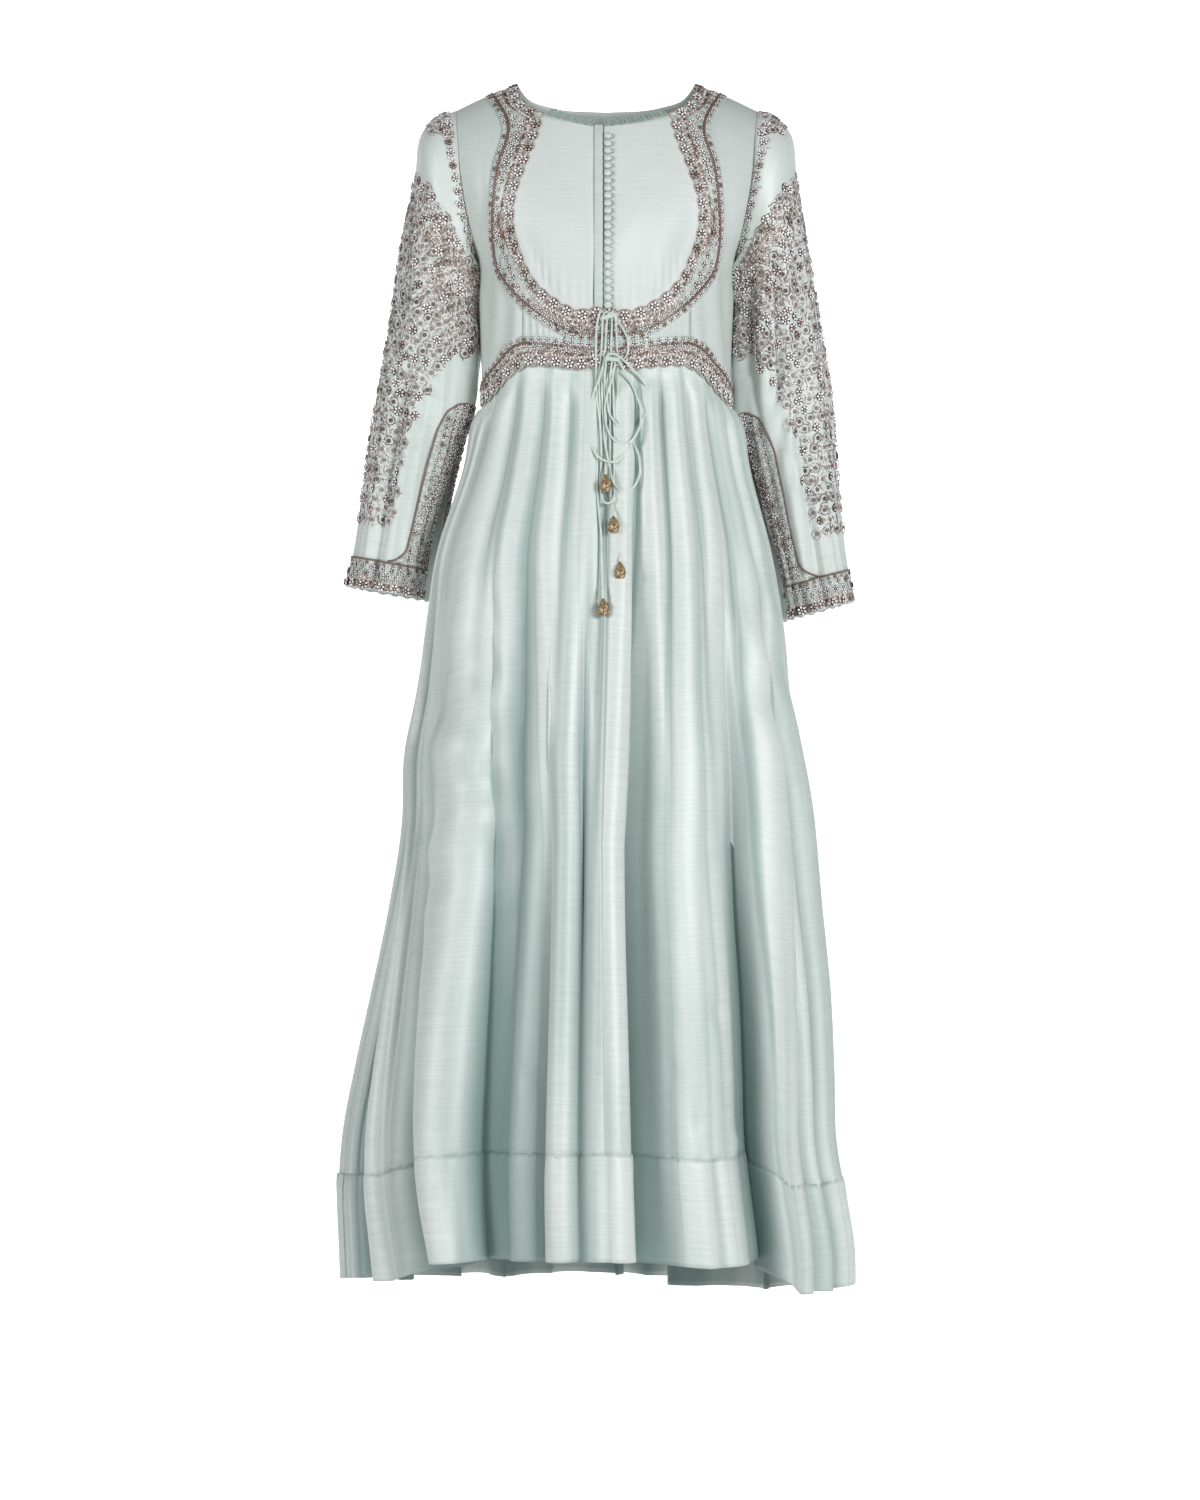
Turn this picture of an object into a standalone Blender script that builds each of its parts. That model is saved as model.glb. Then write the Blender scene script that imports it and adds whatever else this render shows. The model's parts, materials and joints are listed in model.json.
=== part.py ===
"""Anarkali gown, worn: a hollow silk bodice, long slit sleeves and a flared skirt of gores.

Metres, +Z up, the front of the gown faces -Y and the wearer's left is at +X. The origin is the
centre of the neck opening, level with the shoulders that hold the gown up.
Every piece of cloth is a wall on one of three surfaces: the torso, a sleeve or the skirt.
"""
import math

import bmesh
import bpy
import numpy as np
from mathutils import Vector

# Driving sizes.
CLOTH = 0.0015              # thickness of a sewn silk wall
BAND = 0.0011               # thickness of an embroidered band laid on the silk
SEAM = 0.0003               # space between two pieces at a seam
OPENING_X = -0.0034         # the front opening runs just right of the centre
PLACKET_WIDTH = 0.0102
LOOP_HEIGHT = 0.0095        # neck loops standing on the neck edge
LOOP_THICK = 0.0022
BUTTON_DIAMETER = 0.0084
BUTTON_THICK = 0.0052
BUTTON_PITCH = 0.0087
BUTTON_COUNT = 23
BUTTON_TOP_Z = -0.0591
BUTTON_X = 0.0019
HEM_BAND = 0.118            # share of the skirt's length that the hem band takes
WAIST_Z = -0.357            # the waist seam at the sides, and the mean height of the hem
HEM_Z = -1.350
TUCK_IN = 0.0027            # the skirt's top lies this far inside the bodice
TUCK_UP = 0.0010            # and reaches this far above the waist seam
LINE_GAP = 2.6              # least angle between two grid lines of the skirt, in degrees
TUCK_FALL = 0.0350          # and is clear of the torso's shape this far below it
SLIT_TOP = 0.62             # where the sleeve's slit starts, as a share of its length
SLIT_BAND_TOP = 0.57
CUFF_BAND_TOP = 0.925
CORD_DIAMETER = 0.0024
CORD_STEP = 0.0005
CORD_EASE = 6               # steps to each side that a place of the route is evened over
CORD_PLACES = 78            # rings of faces along each cord
BEND_PACE = 0.035           # metres of straight cord that take as many of them as one radian
BEAD_WIDTH = 0.0130
BEAD_LENGTH = 0.0190


def table(columns, *rows):
    """A short table: column names in one string, one tuple for each row."""
    return dict(zip(columns.split(), np.array(rows, float).T))


# The torso's section at each height: half its width, and its depth before and behind the side seam.
TORSO = table(
    "z half front back",
    (0.050, 0.204, 0.098, 0.084),
    (0.000, 0.199, 0.103, 0.090),
    (-0.060, 0.192, 0.112, 0.098),
    (-0.120, 0.178, 0.122, 0.104),
    (-0.160, 0.162, 0.127, 0.105),
    (-0.188, 0.1480, 0.128, 0.104),
    (-0.240, 0.1455, 0.123, 0.099),
    (-0.300, 0.1430, 0.112, 0.095),
    (-0.360, 0.1410, 0.106, 0.095),
)
# The shoulder line at each distance from the centre, and how far below it the cloth turns upright.
SHOULDER = table(
    "x height roll",
    (0.000, 0.0400, 0.260),
    (0.050, 0.0310, 0.225),
    (0.104, 0.0090, 0.175),
    (0.138, -0.0030, 0.145),
    (0.171, -0.0185, 0.120),
    (0.205, -0.0345, 0.110),
)
# The skirt's outer folds at each height: reach to the right, left, front and back.
SKIRT = table(
    "z right left front back",
    (-0.330, 0.1410, 0.1410, 0.1060, 0.095),
    (-0.360, 0.1425, 0.1440, 0.1080, 0.097),
    (-0.4275, 0.158, 0.158, 0.120, 0.111),
    (-0.530, 0.191, 0.184, 0.139, 0.135),
    (-0.600, 0.200, 0.195, 0.152, 0.152),
    (-0.690, 0.211, 0.207, 0.168, 0.172),
    (-0.752, 0.222, 0.2205, 0.179, 0.185),
    (-0.826, 0.224, 0.233, 0.191, 0.199),
    (-0.918, 0.238, 0.2435, 0.205, 0.215),
    (-1.028, 0.260, 0.2565, 0.220, 0.232),
    (-1.110, 0.277, 0.2615, 0.230, 0.243),
    (-1.190, 0.291, 0.265, 0.238, 0.252),
    (-1.250, 0.2945, 0.276, 0.242, 0.257),
    (-1.300, 0.2925, 0.285, 0.244, 0.259),
    (-1.400, 0.2875, 0.286, 0.245, 0.260),
)
# The skirt's largest folds: the angle from the front of each trough at the waist, half way down and
# at the hem, its half width and depth at the hem, and the height where it starts.
FOLDS = table(
    "waist middle hem width depth start",
    (13, 6, 8, 4.2, 0.075, -0.40),
    (47, 40, 44, 4.5, 0.080, -0.45),
    (66, 61, 60, 3.2, 0.040, -0.75),
    (88, 84, 82, 5.5, 0.050, -0.60),
    (112, 110, 107, 5.0, 0.060, -0.50),
    (136, 132, 131, 4.6, 0.050, -0.62),
    (158, 157, 155, 5.2, 0.066, -0.46),
    (181, 183, 180, 4.4, 0.052, -0.56),
    (206, 204, 206, 5.4, 0.062, -0.48),
    (229, 232, 229, 4.6, 0.048, -0.66),
    (252, 255, 254, 5.0, 0.058, -0.52),
    (276, 270, 282, 4.8, 0.040, -0.70),
    (296, 284, 313, 4.2, 0.055, -0.55),
    (318, 322, 328, 4.6, 0.060, -0.44),
    (338, 344, 345, 4.0, 0.045, -0.50),
)
# The height of the hem at each angle from the front.
HEM = table(
    "angle z",
    (0, -1.305), (25, -1.316), (42, -1.314), (52, -1.352), (66, -1.352), (82, -1.342),
    (110, -1.366), (140, -1.380), (158, -1.377), (180, -1.368), (220, -1.366), (250, -1.356),
    (280, -1.345), (300, -1.340), (313, -1.316), (335, -1.310), (360, -1.305),
)
# Each sleeve from armhole to cuff: outer edge, inner edge, middle and half depths of each ring.
# The right arm hangs a little wider and bent, so that its cuff is higher.
SLEEVE_LEFT = table(
    "share outer_x outer_z inner_x inner_z middle front back",
    (0.035, 0.1900, -0.0275, 0.1512, -0.1950, 0.000, 0.0540, 0.0500),
    (0.080, 0.2070, -0.0440, 0.1522, -0.2060, 0.002, 0.0550, 0.0520),
    (0.160, 0.2165, -0.0920, 0.1512, -0.2260, 0.004, 0.0540, 0.0530),
    (0.270, 0.2270, -0.1540, 0.1496, -0.2560, 0.008, 0.0520, 0.0520),
    (0.440, 0.2430, -0.2600, 0.1490, -0.3080, 0.014, 0.0500, 0.0500),
    (0.600, 0.2570, -0.3480, 0.1520, -0.3760, 0.022, 0.0480, 0.0480),
    (0.780, 0.2660, -0.4500, 0.1740, -0.4720, 0.034, 0.0450, 0.0460),
    (0.910, 0.2750, -0.5260, 0.1905, -0.5500, 0.042, 0.0430, 0.0460),
    (1.000, 0.2840, -0.5780, 0.1985, -0.6020, 0.046, 0.0420, 0.0470),
)
SLEEVE_RIGHT = table(
    "share outer_x outer_z inner_x inner_z middle front back",
    (0.035, 0.1900, -0.0275, 0.1512, -0.1950, 0.000, 0.0540, 0.0500),
    (0.080, 0.2070, -0.0440, 0.1522, -0.2060, 0.002, 0.0550, 0.0520),
    (0.160, 0.2170, -0.0920, 0.1512, -0.2260, 0.004, 0.0540, 0.0530),
    (0.270, 0.2300, -0.1540, 0.1500, -0.2560, 0.008, 0.0520, 0.0520),
    (0.440, 0.2460, -0.2550, 0.1505, -0.3000, 0.014, 0.0500, 0.0500),
    (0.600, 0.2620, -0.3420, 0.1570, -0.3640, 0.022, 0.0480, 0.0480),
    (0.780, 0.2770, -0.4400, 0.1790, -0.4580, 0.034, 0.0450, 0.0460),
    (0.910, 0.2880, -0.5120, 0.1930, -0.5300, 0.042, 0.0430, 0.0460),
    (1.000, 0.2980, -0.5600, 0.1975, -0.5780, 0.046, 0.0420, 0.0470),
)

# Seams of the left front, as places on the front view of the torso.
YOKE_SEAM = [(0.0698, -0.0293), (0.0748, -0.0521), (0.0913, -0.0983), (0.1015, -0.1322),
             (0.1015, -0.1627), (0.0937, -0.1902), (0.0788, -0.2213), (0.0547, -0.2431),
             (0.0282, -0.2548)]
NECK_EDGE = [(0.1000, 0.0104), (0.0941, -0.0119), (0.0830, -0.0226), (0.0698, -0.0293)]
BORDER_SEAM = [(0.1380, -0.0030), (0.1176, -0.0462), (0.1281, -0.0914), (0.1325, -0.1398),
               (0.1304, -0.1826), (0.1214, -0.2177), (0.1042, -0.2420), (0.0943, -0.2524)]
GUSSET_SEAM = [(0.0943, -0.2524), (0.0804, -0.2638), (0.0646, -0.2751), (0.0469, -0.2848)]
BLOCK_SEAM = [(0.0440, -0.2863), (0.0243, -0.2900)]
WAIST_TOP = [(0.0469, -0.2877), (0.0686, -0.2841), (0.0944, -0.2824)]
WAIST_SIDE = [(0.0944, -0.2824), (0.1064, -0.2865), (0.1237, -0.3035), (0.1340, -0.3150),
              (0.1423, -0.3300)]
WAIST_SEAM = [(0.0322, -0.3219), (0.0637, -0.3178), (0.0935, -0.3181), (0.1105, -0.3283),
              (0.1258, -0.3446), (0.1363, -0.3540), (0.1411, -0.3570)]
BLOCK_END_Z = -0.2911       # where the yoke border ends and the waist border starts, at the opening
WAIST_END_Z = -0.3187
YOKE_END_Z = -0.2521
ARMHOLE = [(0.1710, -0.0185), (0.1680, -0.0550), (0.1640, -0.1050), (0.1560, -0.1500),
           (0.1500, -0.1760), (0.1480, -0.1880)]
BACK_NECK = [(0.1000, 0.0104), (0.0900, 0.0000), (0.0600, -0.0090), (0.0000, -0.0130)]
BACK_WAIST = [(0.1411, -0.3570), (0.1100, -0.3520), (0.0600, -0.3470), (0.0000, -0.3450)]
NECK_FRONT_Z = -0.0450      # the neck edge at the centre front, and half way to the band
NECK_MIDDLE = (0.0393, -0.0385)

# The tie cords, two from each bow: places on the front view and how far in front of the cloth.
# Each leaves the opening, falls in its loop, turns over its knot and hangs to its bead.
TIES = {
    "tie_cord_right_top": table(
        "x z lift",
        (-0.0063, -0.2556, 0.0006), (-0.0064, -0.2565, 0.0048), (-0.0073, -0.2605, 0.0080),
        (-0.0095, -0.2684, 0.0082), (-0.0112, -0.2828, 0.0050), (-0.0115, -0.3024, 0.0026),
        (-0.0111, -0.3400, 0.0023), (-0.0102, -0.3580, 0.0032), (-0.0078, -0.3739, 0.0051),
        (-0.0060, -0.3965, 0.0053), (-0.0053, -0.4191, 0.0048), (-0.0066, -0.4437, 0.0024),
        (-0.0057, -0.4617, 0.0030), (-0.0033, -0.4697, 0.0054), (0.0017, -0.4732, 0.0076),
        (0.0069, -0.4692, 0.0080), (0.0091, -0.4613, 0.0050), (0.0083, -0.4459, 0.0024),
        (0.0085, -0.4257, 0.0023), (0.0090, -0.4053, 0.0023), (0.0086, -0.3782, 0.0023),
        (0.0077, -0.3445, 0.0023), (0.0061, -0.3168, 0.0023), (0.0054, -0.2947, 0.0026),
        (0.0060, -0.2785, 0.0054), (0.0059, -0.2650, 0.0088), (0.0044, -0.2607, 0.0093),
        (0.0009, -0.2590, 0.0094), (-0.0025, -0.2607, 0.0093), (-0.0039, -0.2650, 0.0088),
        (-0.0045, -0.2795, 0.0054), (-0.0052, -0.2958, 0.0026), (-0.0081, -0.3378, 0.0023),
        (-0.0073, -0.3624, 0.0023), (-0.0071, -0.3827, 0.0023), (-0.0102, -0.4347, 0.0023),
        (-0.0100, -0.4572, 0.0023), (-0.0055, -0.5133, 0.0023), (-0.0044, -0.5604, 0.0054),
        (-0.0035, -0.5795, 0.0104)),
    "tie_cord_left_top": table(
        "x z lift",
        (0.0071, -0.2567, 0.0006), (0.0072, -0.2575, 0.0048), (0.0087, -0.2616, 0.0078),
        (0.0137, -0.2698, 0.0072), (0.0199, -0.2794, 0.0048), (0.0246, -0.2924, 0.0028),
        (0.0242, -0.3029, 0.0030), (0.0183, -0.3117, 0.0050), (0.0093, -0.3184, 0.0054),
        (0.0032, -0.3242, 0.0053), (0.0011, -0.3336, 0.0049), (0.0010, -0.3502, 0.0044),
        (0.0023, -0.3671, 0.0051), (0.0083, -0.3795, 0.0053), (0.0188, -0.3902, 0.0048),
        (0.0300, -0.4046, 0.0023), (0.0364, -0.4187, 0.0023), (0.0378, -0.4356, 0.0023),
        (0.0337, -0.4492, 0.0023), (0.0249, -0.4572, 0.0032), (0.0143, -0.4568, 0.0060),
        (0.0072, -0.4478, 0.0060), (0.0016, -0.4213, 0.0052), (-0.0028, -0.3942, 0.0044),
        (-0.0035, -0.3782, 0.0024), (-0.0048, -0.3378, 0.0023), (-0.0010, -0.2958, 0.0026),
        (0.0003, -0.2744, 0.0090), (0.0015, -0.2637, 0.0120), (0.0056, -0.2596, 0.0126),
        (0.0097, -0.2637, 0.0120), (0.0109, -0.2722, 0.0092), (0.0117, -0.2892, 0.0030),
        (0.0126, -0.3156, 0.0023), (0.0126, -0.3601, 0.0023), (0.0123, -0.4121, 0.0023),
        (0.0125, -0.4684, 0.0023), (0.0150, -0.4909, 0.0023), (0.0154, -0.5224, 0.0048),
        (0.0151, -0.5383, 0.0104)),
    "tie_cord_right_low": table(
        "x z lift",
        (0.0023, -0.3022, 0.0006), (0.0023, -0.3028, 0.0050), (0.0012, -0.3062, 0.0080),
        (-0.0024, -0.3150, 0.0078), (-0.0073, -0.3304, 0.0068), (-0.0133, -0.3458, 0.0054),
        (-0.0187, -0.3647, 0.0030), (-0.0209, -0.3850, 0.0028), (-0.0180, -0.4048, 0.0038),
        (-0.0091, -0.4198, 0.0078), (-0.0017, -0.4249, 0.0083), (0.0054, -0.4265, 0.0083),
        (0.0132, -0.4235, 0.0078), (0.0210, -0.4151, 0.0052), (0.0293, -0.4020, 0.0054),
        (0.0356, -0.3895, 0.0053), (0.0412, -0.3758, 0.0044), (0.0468, -0.3609, 0.0028),
        (0.0471, -0.3463, 0.0028), (0.0395, -0.3315, 0.0030), (0.0283, -0.3203, 0.0050),
        (0.0183, -0.3115, 0.0090), (0.0103, -0.3057, 0.0112), (0.0041, -0.3051, 0.0116),
        (0.0001, -0.3106, 0.0114), (-0.0008, -0.3207, 0.0096), (-0.0019, -0.3326, 0.0060),
        (-0.0019, -0.3456, 0.0030), (-0.0006, -0.3624, 0.0023), (-0.0003, -0.3839, 0.0023),
        (-0.0005, -0.4212, 0.0024), (-0.0005, -0.4304, 0.0064), (-0.0006, -0.4409, 0.0124)),
    "tie_cord_left_low": table(
        "x z lift",
        (0.0090, -0.3022, 0.0006), (0.0091, -0.3030, 0.0050), (0.0094, -0.3065, 0.0074),
        (0.0094, -0.3172, 0.0084), (0.0077, -0.3284, 0.0100), (0.0050, -0.3373, 0.0100),
        (0.0021, -0.3466, 0.0086), (-0.0004, -0.3560, 0.0068), (-0.0017, -0.3672, 0.0054),
        (-0.0008, -0.3807, 0.0053), (0.0030, -0.3931, 0.0053), (0.0094, -0.4017, 0.0053),
        (0.0184, -0.4053, 0.0060), (0.0255, -0.4039, 0.0078), (0.0306, -0.3994, 0.0083),
        (0.0355, -0.3914, 0.0083), (0.0385, -0.3806, 0.0081), (0.0385, -0.3680, 0.0060),
        (0.0345, -0.3521, 0.0030), (0.0285, -0.3383, 0.0028), (0.0226, -0.3279, 0.0044),
        (0.0179, -0.3200, 0.0080), (0.0150, -0.3136, 0.0106), (0.0105, -0.3106, 0.0116),
        (0.0061, -0.3146, 0.0108), (0.0052, -0.3228, 0.0090), (0.0043, -0.3327, 0.0074),
        (0.0041, -0.3425, 0.0048), (0.0041, -0.3534, 0.0024), (0.0041, -0.4008, 0.0023),
        (0.0041, -0.4459, 0.0023), (0.0052, -0.4617, 0.0023), (0.0067, -0.4730, 0.0046),
        (0.0080, -0.4868, 0.0108)),
}


def smooth_rows(heights, values, at, slopes=np.gradient):
    """Cubic Hermite curve through (heights, values), read at any array of heights."""
    order = np.argsort(heights)
    knots, rows = heights[order], values[order]
    slope = slopes(rows, knots, axis=0)
    at = np.clip(at, knots[0], knots[-1])
    k = np.clip(np.searchsorted(knots, at, side="right") - 1, 0, len(knots) - 2)
    span = knots[k + 1] - knots[k]
    t = (at - knots[k]) / span
    if rows.ndim > 1:
        span, t = span[..., None], t[..., None]
    return ((2 * t**3 - 3 * t**2 + 1) * rows[k] + (t**3 - 2 * t**2 + t) * span * slope[k]
            + (3 * t**2 - 2 * t**3) * rows[k + 1] + (t**3 - t**2) * span * slope[k + 1])


def read(rows, key, column, at):
    """One column of a table, read smoothly between its rows."""
    return smooth_rows(rows[key], rows[column], np.asarray(at, float))


def steady(rows, knots, axis=0):
    """Slopes that never carry the curve past a row: zero at a turn, else the harmonic mean."""
    rise = np.diff(rows, axis=axis) / np.diff(knots)[:, None]
    before, after = rise[:-1], rise[1:]
    onward = before * after > 0
    mean = 2 * before * after / np.where(onward, before + after, 1)
    return np.concatenate([rise[:1], np.where(onward, mean, 0), rise[-1:]])


def route(knots):
    """Places every CORD_STEP on a smooth curve by way of the given places. Each is then moved to
    the mean of its neighbours, which opens the tightest bends."""
    run = np.r_[0, np.cumsum(np.linalg.norm(np.diff(knots, axis=0), axis=1))]
    dense = smooth_rows(run, knots, np.linspace(0, run[-1], 3000), steady)
    count = int(run[-1] / CORD_STEP)
    places = even(dense, dense, count)
    ends = 2 * places[0] - places[CORD_EASE:0:-1], 2 * places[-1] - places[-2:-CORD_EASE - 2:-1]
    sums = np.cumsum(np.concatenate([np.zeros((1, 3)), ends[0], places, ends[1]]), axis=0)
    window = 2 * CORD_EASE + 1
    return (sums[window:] - sums[:-window]) / window


def even(places, keep, count):
    """Rows of keep at equal steps of the distance along places."""
    run = np.r_[0, np.cumsum(np.linalg.norm(np.diff(places, axis=0), axis=1))]
    steps = np.linspace(0, run[-1], count + 1)
    return np.stack([np.interp(steps, run, column) for column in keep.T], axis=1)


# ---- the torso surface ----

def torso_level(x, y, z, side):
    """Zero on the torso: an ellipse at each height, closed over along the shoulder line."""
    half = read(TORSO, "z", "half", z)
    depth = read(TORSO, "z", "front" if side < 0 else "back", z)
    across = np.abs(x)
    drop = (read(SHOULDER, "x", "height", across) - z) / read(SHOULDER, "x", "roll", across)
    rolled = np.where(drop < 1, drop * (2 - drop), 1)
    return ((x / half) ** 2 - 1) * rolled + (y / depth) ** 2


def torso(angle, z, side):
    """Place on the torso at an angle from its middle and a height; side is -1 in front, 1 behind."""
    x = read(TORSO, "z", "half", z) * np.sin(angle)
    depth = read(TORSO, "z", "front" if side < 0 else "back", z)
    across = np.abs(x)
    drop = (read(SHOULDER, "x", "height", across) - z) / read(SHOULDER, "x", "roll", across)
    drop = np.clip(drop, 0, 1)
    return np.stack([x, side * depth * np.cos(angle) * np.sqrt(drop * (2 - drop)), z], axis=-1)


def torso_outward(places, side):
    """Unit directions out of the torso, from the slope of its level."""
    step = 1e-5
    slopes = []
    for axis in range(3):
        ahead, behind = places.copy(), places.copy()
        ahead[..., axis] += step
        behind[..., axis] -= step
        slopes.append(torso_level(*np.moveaxis(ahead, -1, 0), side)
                      - torso_level(*np.moveaxis(behind, -1, 0), side))
    return unit(np.stack(slopes, axis=-1))


def unit(vectors):
    return vectors / np.linalg.norm(vectors, axis=-1, keepdims=True)


def on_torso(points, count, side):
    """A seam given as places on the front view, as count + 1 even (angle, height) rows."""
    knots = np.asarray(points, float)
    run = np.r_[0, np.cumsum(np.linalg.norm(np.diff(knots, axis=0), axis=1))]
    x, z = smooth_rows(run, knots, np.linspace(0, run[-1], 3000)).T
    z = np.minimum(z, read(SHOULDER, "x", "height", np.abs(x)))
    angle = np.arcsin(np.clip(x / read(TORSO, "z", "half", z), -1, 1))
    return even(torso(angle, z, side), np.stack([angle, z], axis=1), count)


def shoulder_seam(inner, outer, count):
    """The shoulder line between two distances from the centre, as (angle, height) rows."""
    x = np.linspace(inner, outer, count + 1)
    z = read(SHOULDER, "x", "height", x)
    return np.stack([np.arcsin(x / read(TORSO, "z", "half", z)), z], axis=1)


def fill(top, bottom, left, right):
    """A grid of (angle, height) spanned between four seams that share their corners."""
    u = np.linspace(0, 1, len(top))[None, :, None]
    v = np.linspace(0, 1, len(left))[:, None, None]
    corners = ((1 - u) * (1 - v) * top[0] + u * (1 - v) * top[-1]
               + (1 - u) * v * bottom[0] + u * v * bottom[-1])
    return ((1 - v) * top[None] + v * bottom[None]
            + (1 - u) * left[:, None] + u * right[:, None] - corners)


# ---- walls of cloth ----

def inset(places, edges="tblr", gap=SEAM / 2):
    """Draw the named edges of a grid in by half a seam: top, bottom, left and right."""
    moved = places.copy()
    rows, columns = {"t": (0, 1), "b": (-1, -2)}, {"l": (0, 1), "r": (-1, -2)}
    for edge, (rim, inner) in rows.items():
        if edge in edges:
            along = unit(np.gradient(places[rim], axis=0))
            away = places[inner] - places[rim]
            away = unit(away - along * np.sum(away * along, axis=-1, keepdims=True))
            moved[rim] += gap * away
    for edge, (rim, inner) in columns.items():
        if edge in edges:
            along = unit(np.gradient(places[:, rim], axis=0))
            away = places[:, inner] - places[:, rim]
            away = unit(away - along * np.sum(away * along, axis=-1, keepdims=True))
            moved[:, rim] += gap * away
    return moved


def wall(name, grids, thickness, finish):
    """A closed wall of cloth from grids of (places, outward directions), thickness deep."""
    places, outward, faces, base = [], [], [], 0
    for grid, directions in grids:
        rows, columns = grid.shape[:2]
        index = base + np.arange(rows * columns).reshape(rows, columns)
        one = np.stack([index[:-1, :-1], index[1:, :-1], index[1:, 1:]], axis=-1)
        two = np.stack([index[:-1, :-1], index[1:, 1:], index[:-1, 1:]], axis=-1)
        halves = np.concatenate([one.reshape(-1, 3), two.reshape(-1, 3)])
        middle = (rows - 1) // 2, (columns - 1) // 2
        a, b, d = grid[middle], grid[middle[0] + 1, middle[1]], grid[middle[0], middle[1] + 1]
        if np.dot(np.cross(b - a, d - a), directions[middle]) < 0:
            halves = halves[:, ::-1]
        faces.append(halves)
        places.append(grid.reshape(-1, 3))
        outward.append(directions.reshape(-1, 3))
        base += rows * columns
    places, outward, faces = map(np.concatenate, (places, outward, faces))
    _, first, merged = np.unique(np.round(places * 1e6), axis=0, return_index=True,
                                 return_inverse=True)
    faces = merged.reshape(-1)[faces]
    places, outward = places[first], outward[first]
    count = len(places)
    directed = {(int(a), int(b)) for face in faces for a, b in zip(face, np.roll(face, -1)) if a != b}
    rim = [(b, a, a + count, b + count) for a, b in directed if (b, a) not in directed]
    inner = faces[:, ::-1] + count
    kept = [face for face in map(drop_repeats, (*faces, *inner, *rim)) if len(face) > 2]
    mesh = bpy.data.meshes.new(name)
    mesh.from_pydata(np.concatenate([places, places - outward * thickness]).tolist(), [], kept)
    mesh.validate()
    mesh.shade_smooth()
    mesh.set_sharp_from_angle(angle=math.radians(50))
    return add(name, mesh, finish)


def drop_repeats(face):
    """A face's corners as plain numbers, each once."""
    return tuple(dict.fromkeys(int(corner) for corner in face))


def mirrored(grid, hand):
    """The grid itself for the left of the gown, hand 1, or its mirror for the right, hand -1."""
    return grid * np.array([hand, 1, 1])


def add(name, mesh, finish):
    thing = bpy.data.objects.new(name, mesh)
    mesh.materials.append(finish)
    gown.objects.link(thing)
    return thing


def finish(name, colour, roughness, metallic=0.0):
    material = bpy.data.materials.new(name)
    material.use_nodes = True
    shader = material.node_tree.nodes["Principled BSDF"]
    shader.inputs["Base Color"].default_value = (*colour, 1)
    shader.inputs["Roughness"].default_value = roughness
    shader.inputs["Metallic"].default_value = metallic
    return material


# ---- the bodice ----

def torso_wall(name, angles, hand, side, material, edges="tblr", lift=0.0, thickness=CLOTH):
    """A panel of the torso from its grid of (angle, height)."""
    places = torso(angles[..., 0], angles[..., 1], side)
    outward = torso_outward(places, side)
    places = inset(places, edges) + outward * lift
    wall(name, [(mirrored(places, hand), mirrored(outward, hand))], thickness, material)


def straight(x, top_z, bottom_z, count, side=-1):
    """An upright edge beside the front opening."""
    return on_torso([(x, top_z), (x, bottom_z)], count, side)


def front(hand, word):
    """The panels and bands of one half of the front; hand is 1 for the left."""
    opening = OPENING_X * hand
    yoke_edge = opening if hand > 0 else opening + PLACKET_WIDTH
    across, upright, gusset = 7, 9, 4
    block = 3 if hand > 0 else 4
    inner = on_torso(YOKE_SEAM + [(yoke_edge, YOKE_END_Z)], across + upright, -1)
    neck = on_torso(NECK_EDGE, 3, -1)
    outer = np.concatenate([on_torso(BORDER_SEAM, 12, -1), on_torso(GUSSET_SEAM, gusset, -1)[1:],
                            on_torso([GUSSET_SEAM[-1], *BLOCK_SEAM, (opening, BLOCK_END_Z)],
                                     block, -1)[1:]])

    neckline = on_torso([(yoke_edge, NECK_FRONT_Z), NECK_MIDDLE, YOKE_SEAM[0]], across, -1)
    middle = straight(yoke_edge, NECK_FRONT_Z, YOKE_END_Z, upright)
    yoke = fill(neckline, inner[upright:][::-1], middle, inner[:upright + 1])
    torso_wall("front_yoke_" + word, yoke, hand, -1, pale_silk)
    neck_loops(hand, word, neckline)

    # The band's seams have the same number of places, so it is one strip along them. On the right
    # it runs on under the placket.
    inside = np.concatenate([neck, inner[1:]])
    if hand < 0:
        inside = np.concatenate([inside, straight(opening, YOKE_END_Z, YOKE_END_Z - SEAM, 1)[:1]])
    strip = np.stack([inside, (inside + outer) / 2, outer], axis=1)
    torso_wall("yoke_border_" + word, strip, hand, -1, thread)

    armhole = on_torso(ARMHOLE, 10, -1)
    side_seam = torso_side(ARMHOLE[-1][1], WAIST_SIDE[-1][1], 4)
    princess = on_torso([BORDER_SEAM[-1], WAIST_TOP[-1]], 2, -1)
    panel = fill(shoulder_seam(BORDER_SEAM[0][0], ARMHOLE[0][0], 4), on_torso(WAIST_SIDE, 4, -1),
                 np.concatenate([outer[:13], princess[1:]]),
                 np.concatenate([armhole, side_seam[1:]]))
    torso_wall("side_front_" + word, panel, hand, -1, silk)

    piece = fill(on_torso(GUSSET_SEAM[::-1], gusset, -1), on_torso(WAIST_TOP, gusset, -1),
                 on_torso([GUSSET_SEAM[-1], WAIST_TOP[0]], 2, -1), princess)
    torso_wall("midriff_" + word, piece, hand, -1, silk)

    top = np.concatenate([
        outer[-1 - block:][::-1][:-1],
        on_torso(WAIST_TOP, gusset, -1), on_torso(WAIST_SIDE, 4, -1)[1:]])
    bottom = on_torso([(opening, WAIST_END_Z), *WAIST_SEAM], len(top) - 1, -1)
    band = np.stack([top, (top + bottom) / 2, bottom])
    torso_wall("waist_border_" + word, band, hand, -1, thread)
    return bottom


def torso_side(top_z, bottom_z, count):
    """The side seam of the torso, where front and back meet."""
    z = np.linspace(top_z, bottom_z, count + 1)
    return np.stack([np.full_like(z, math.pi / 2), z], axis=1)


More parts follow.
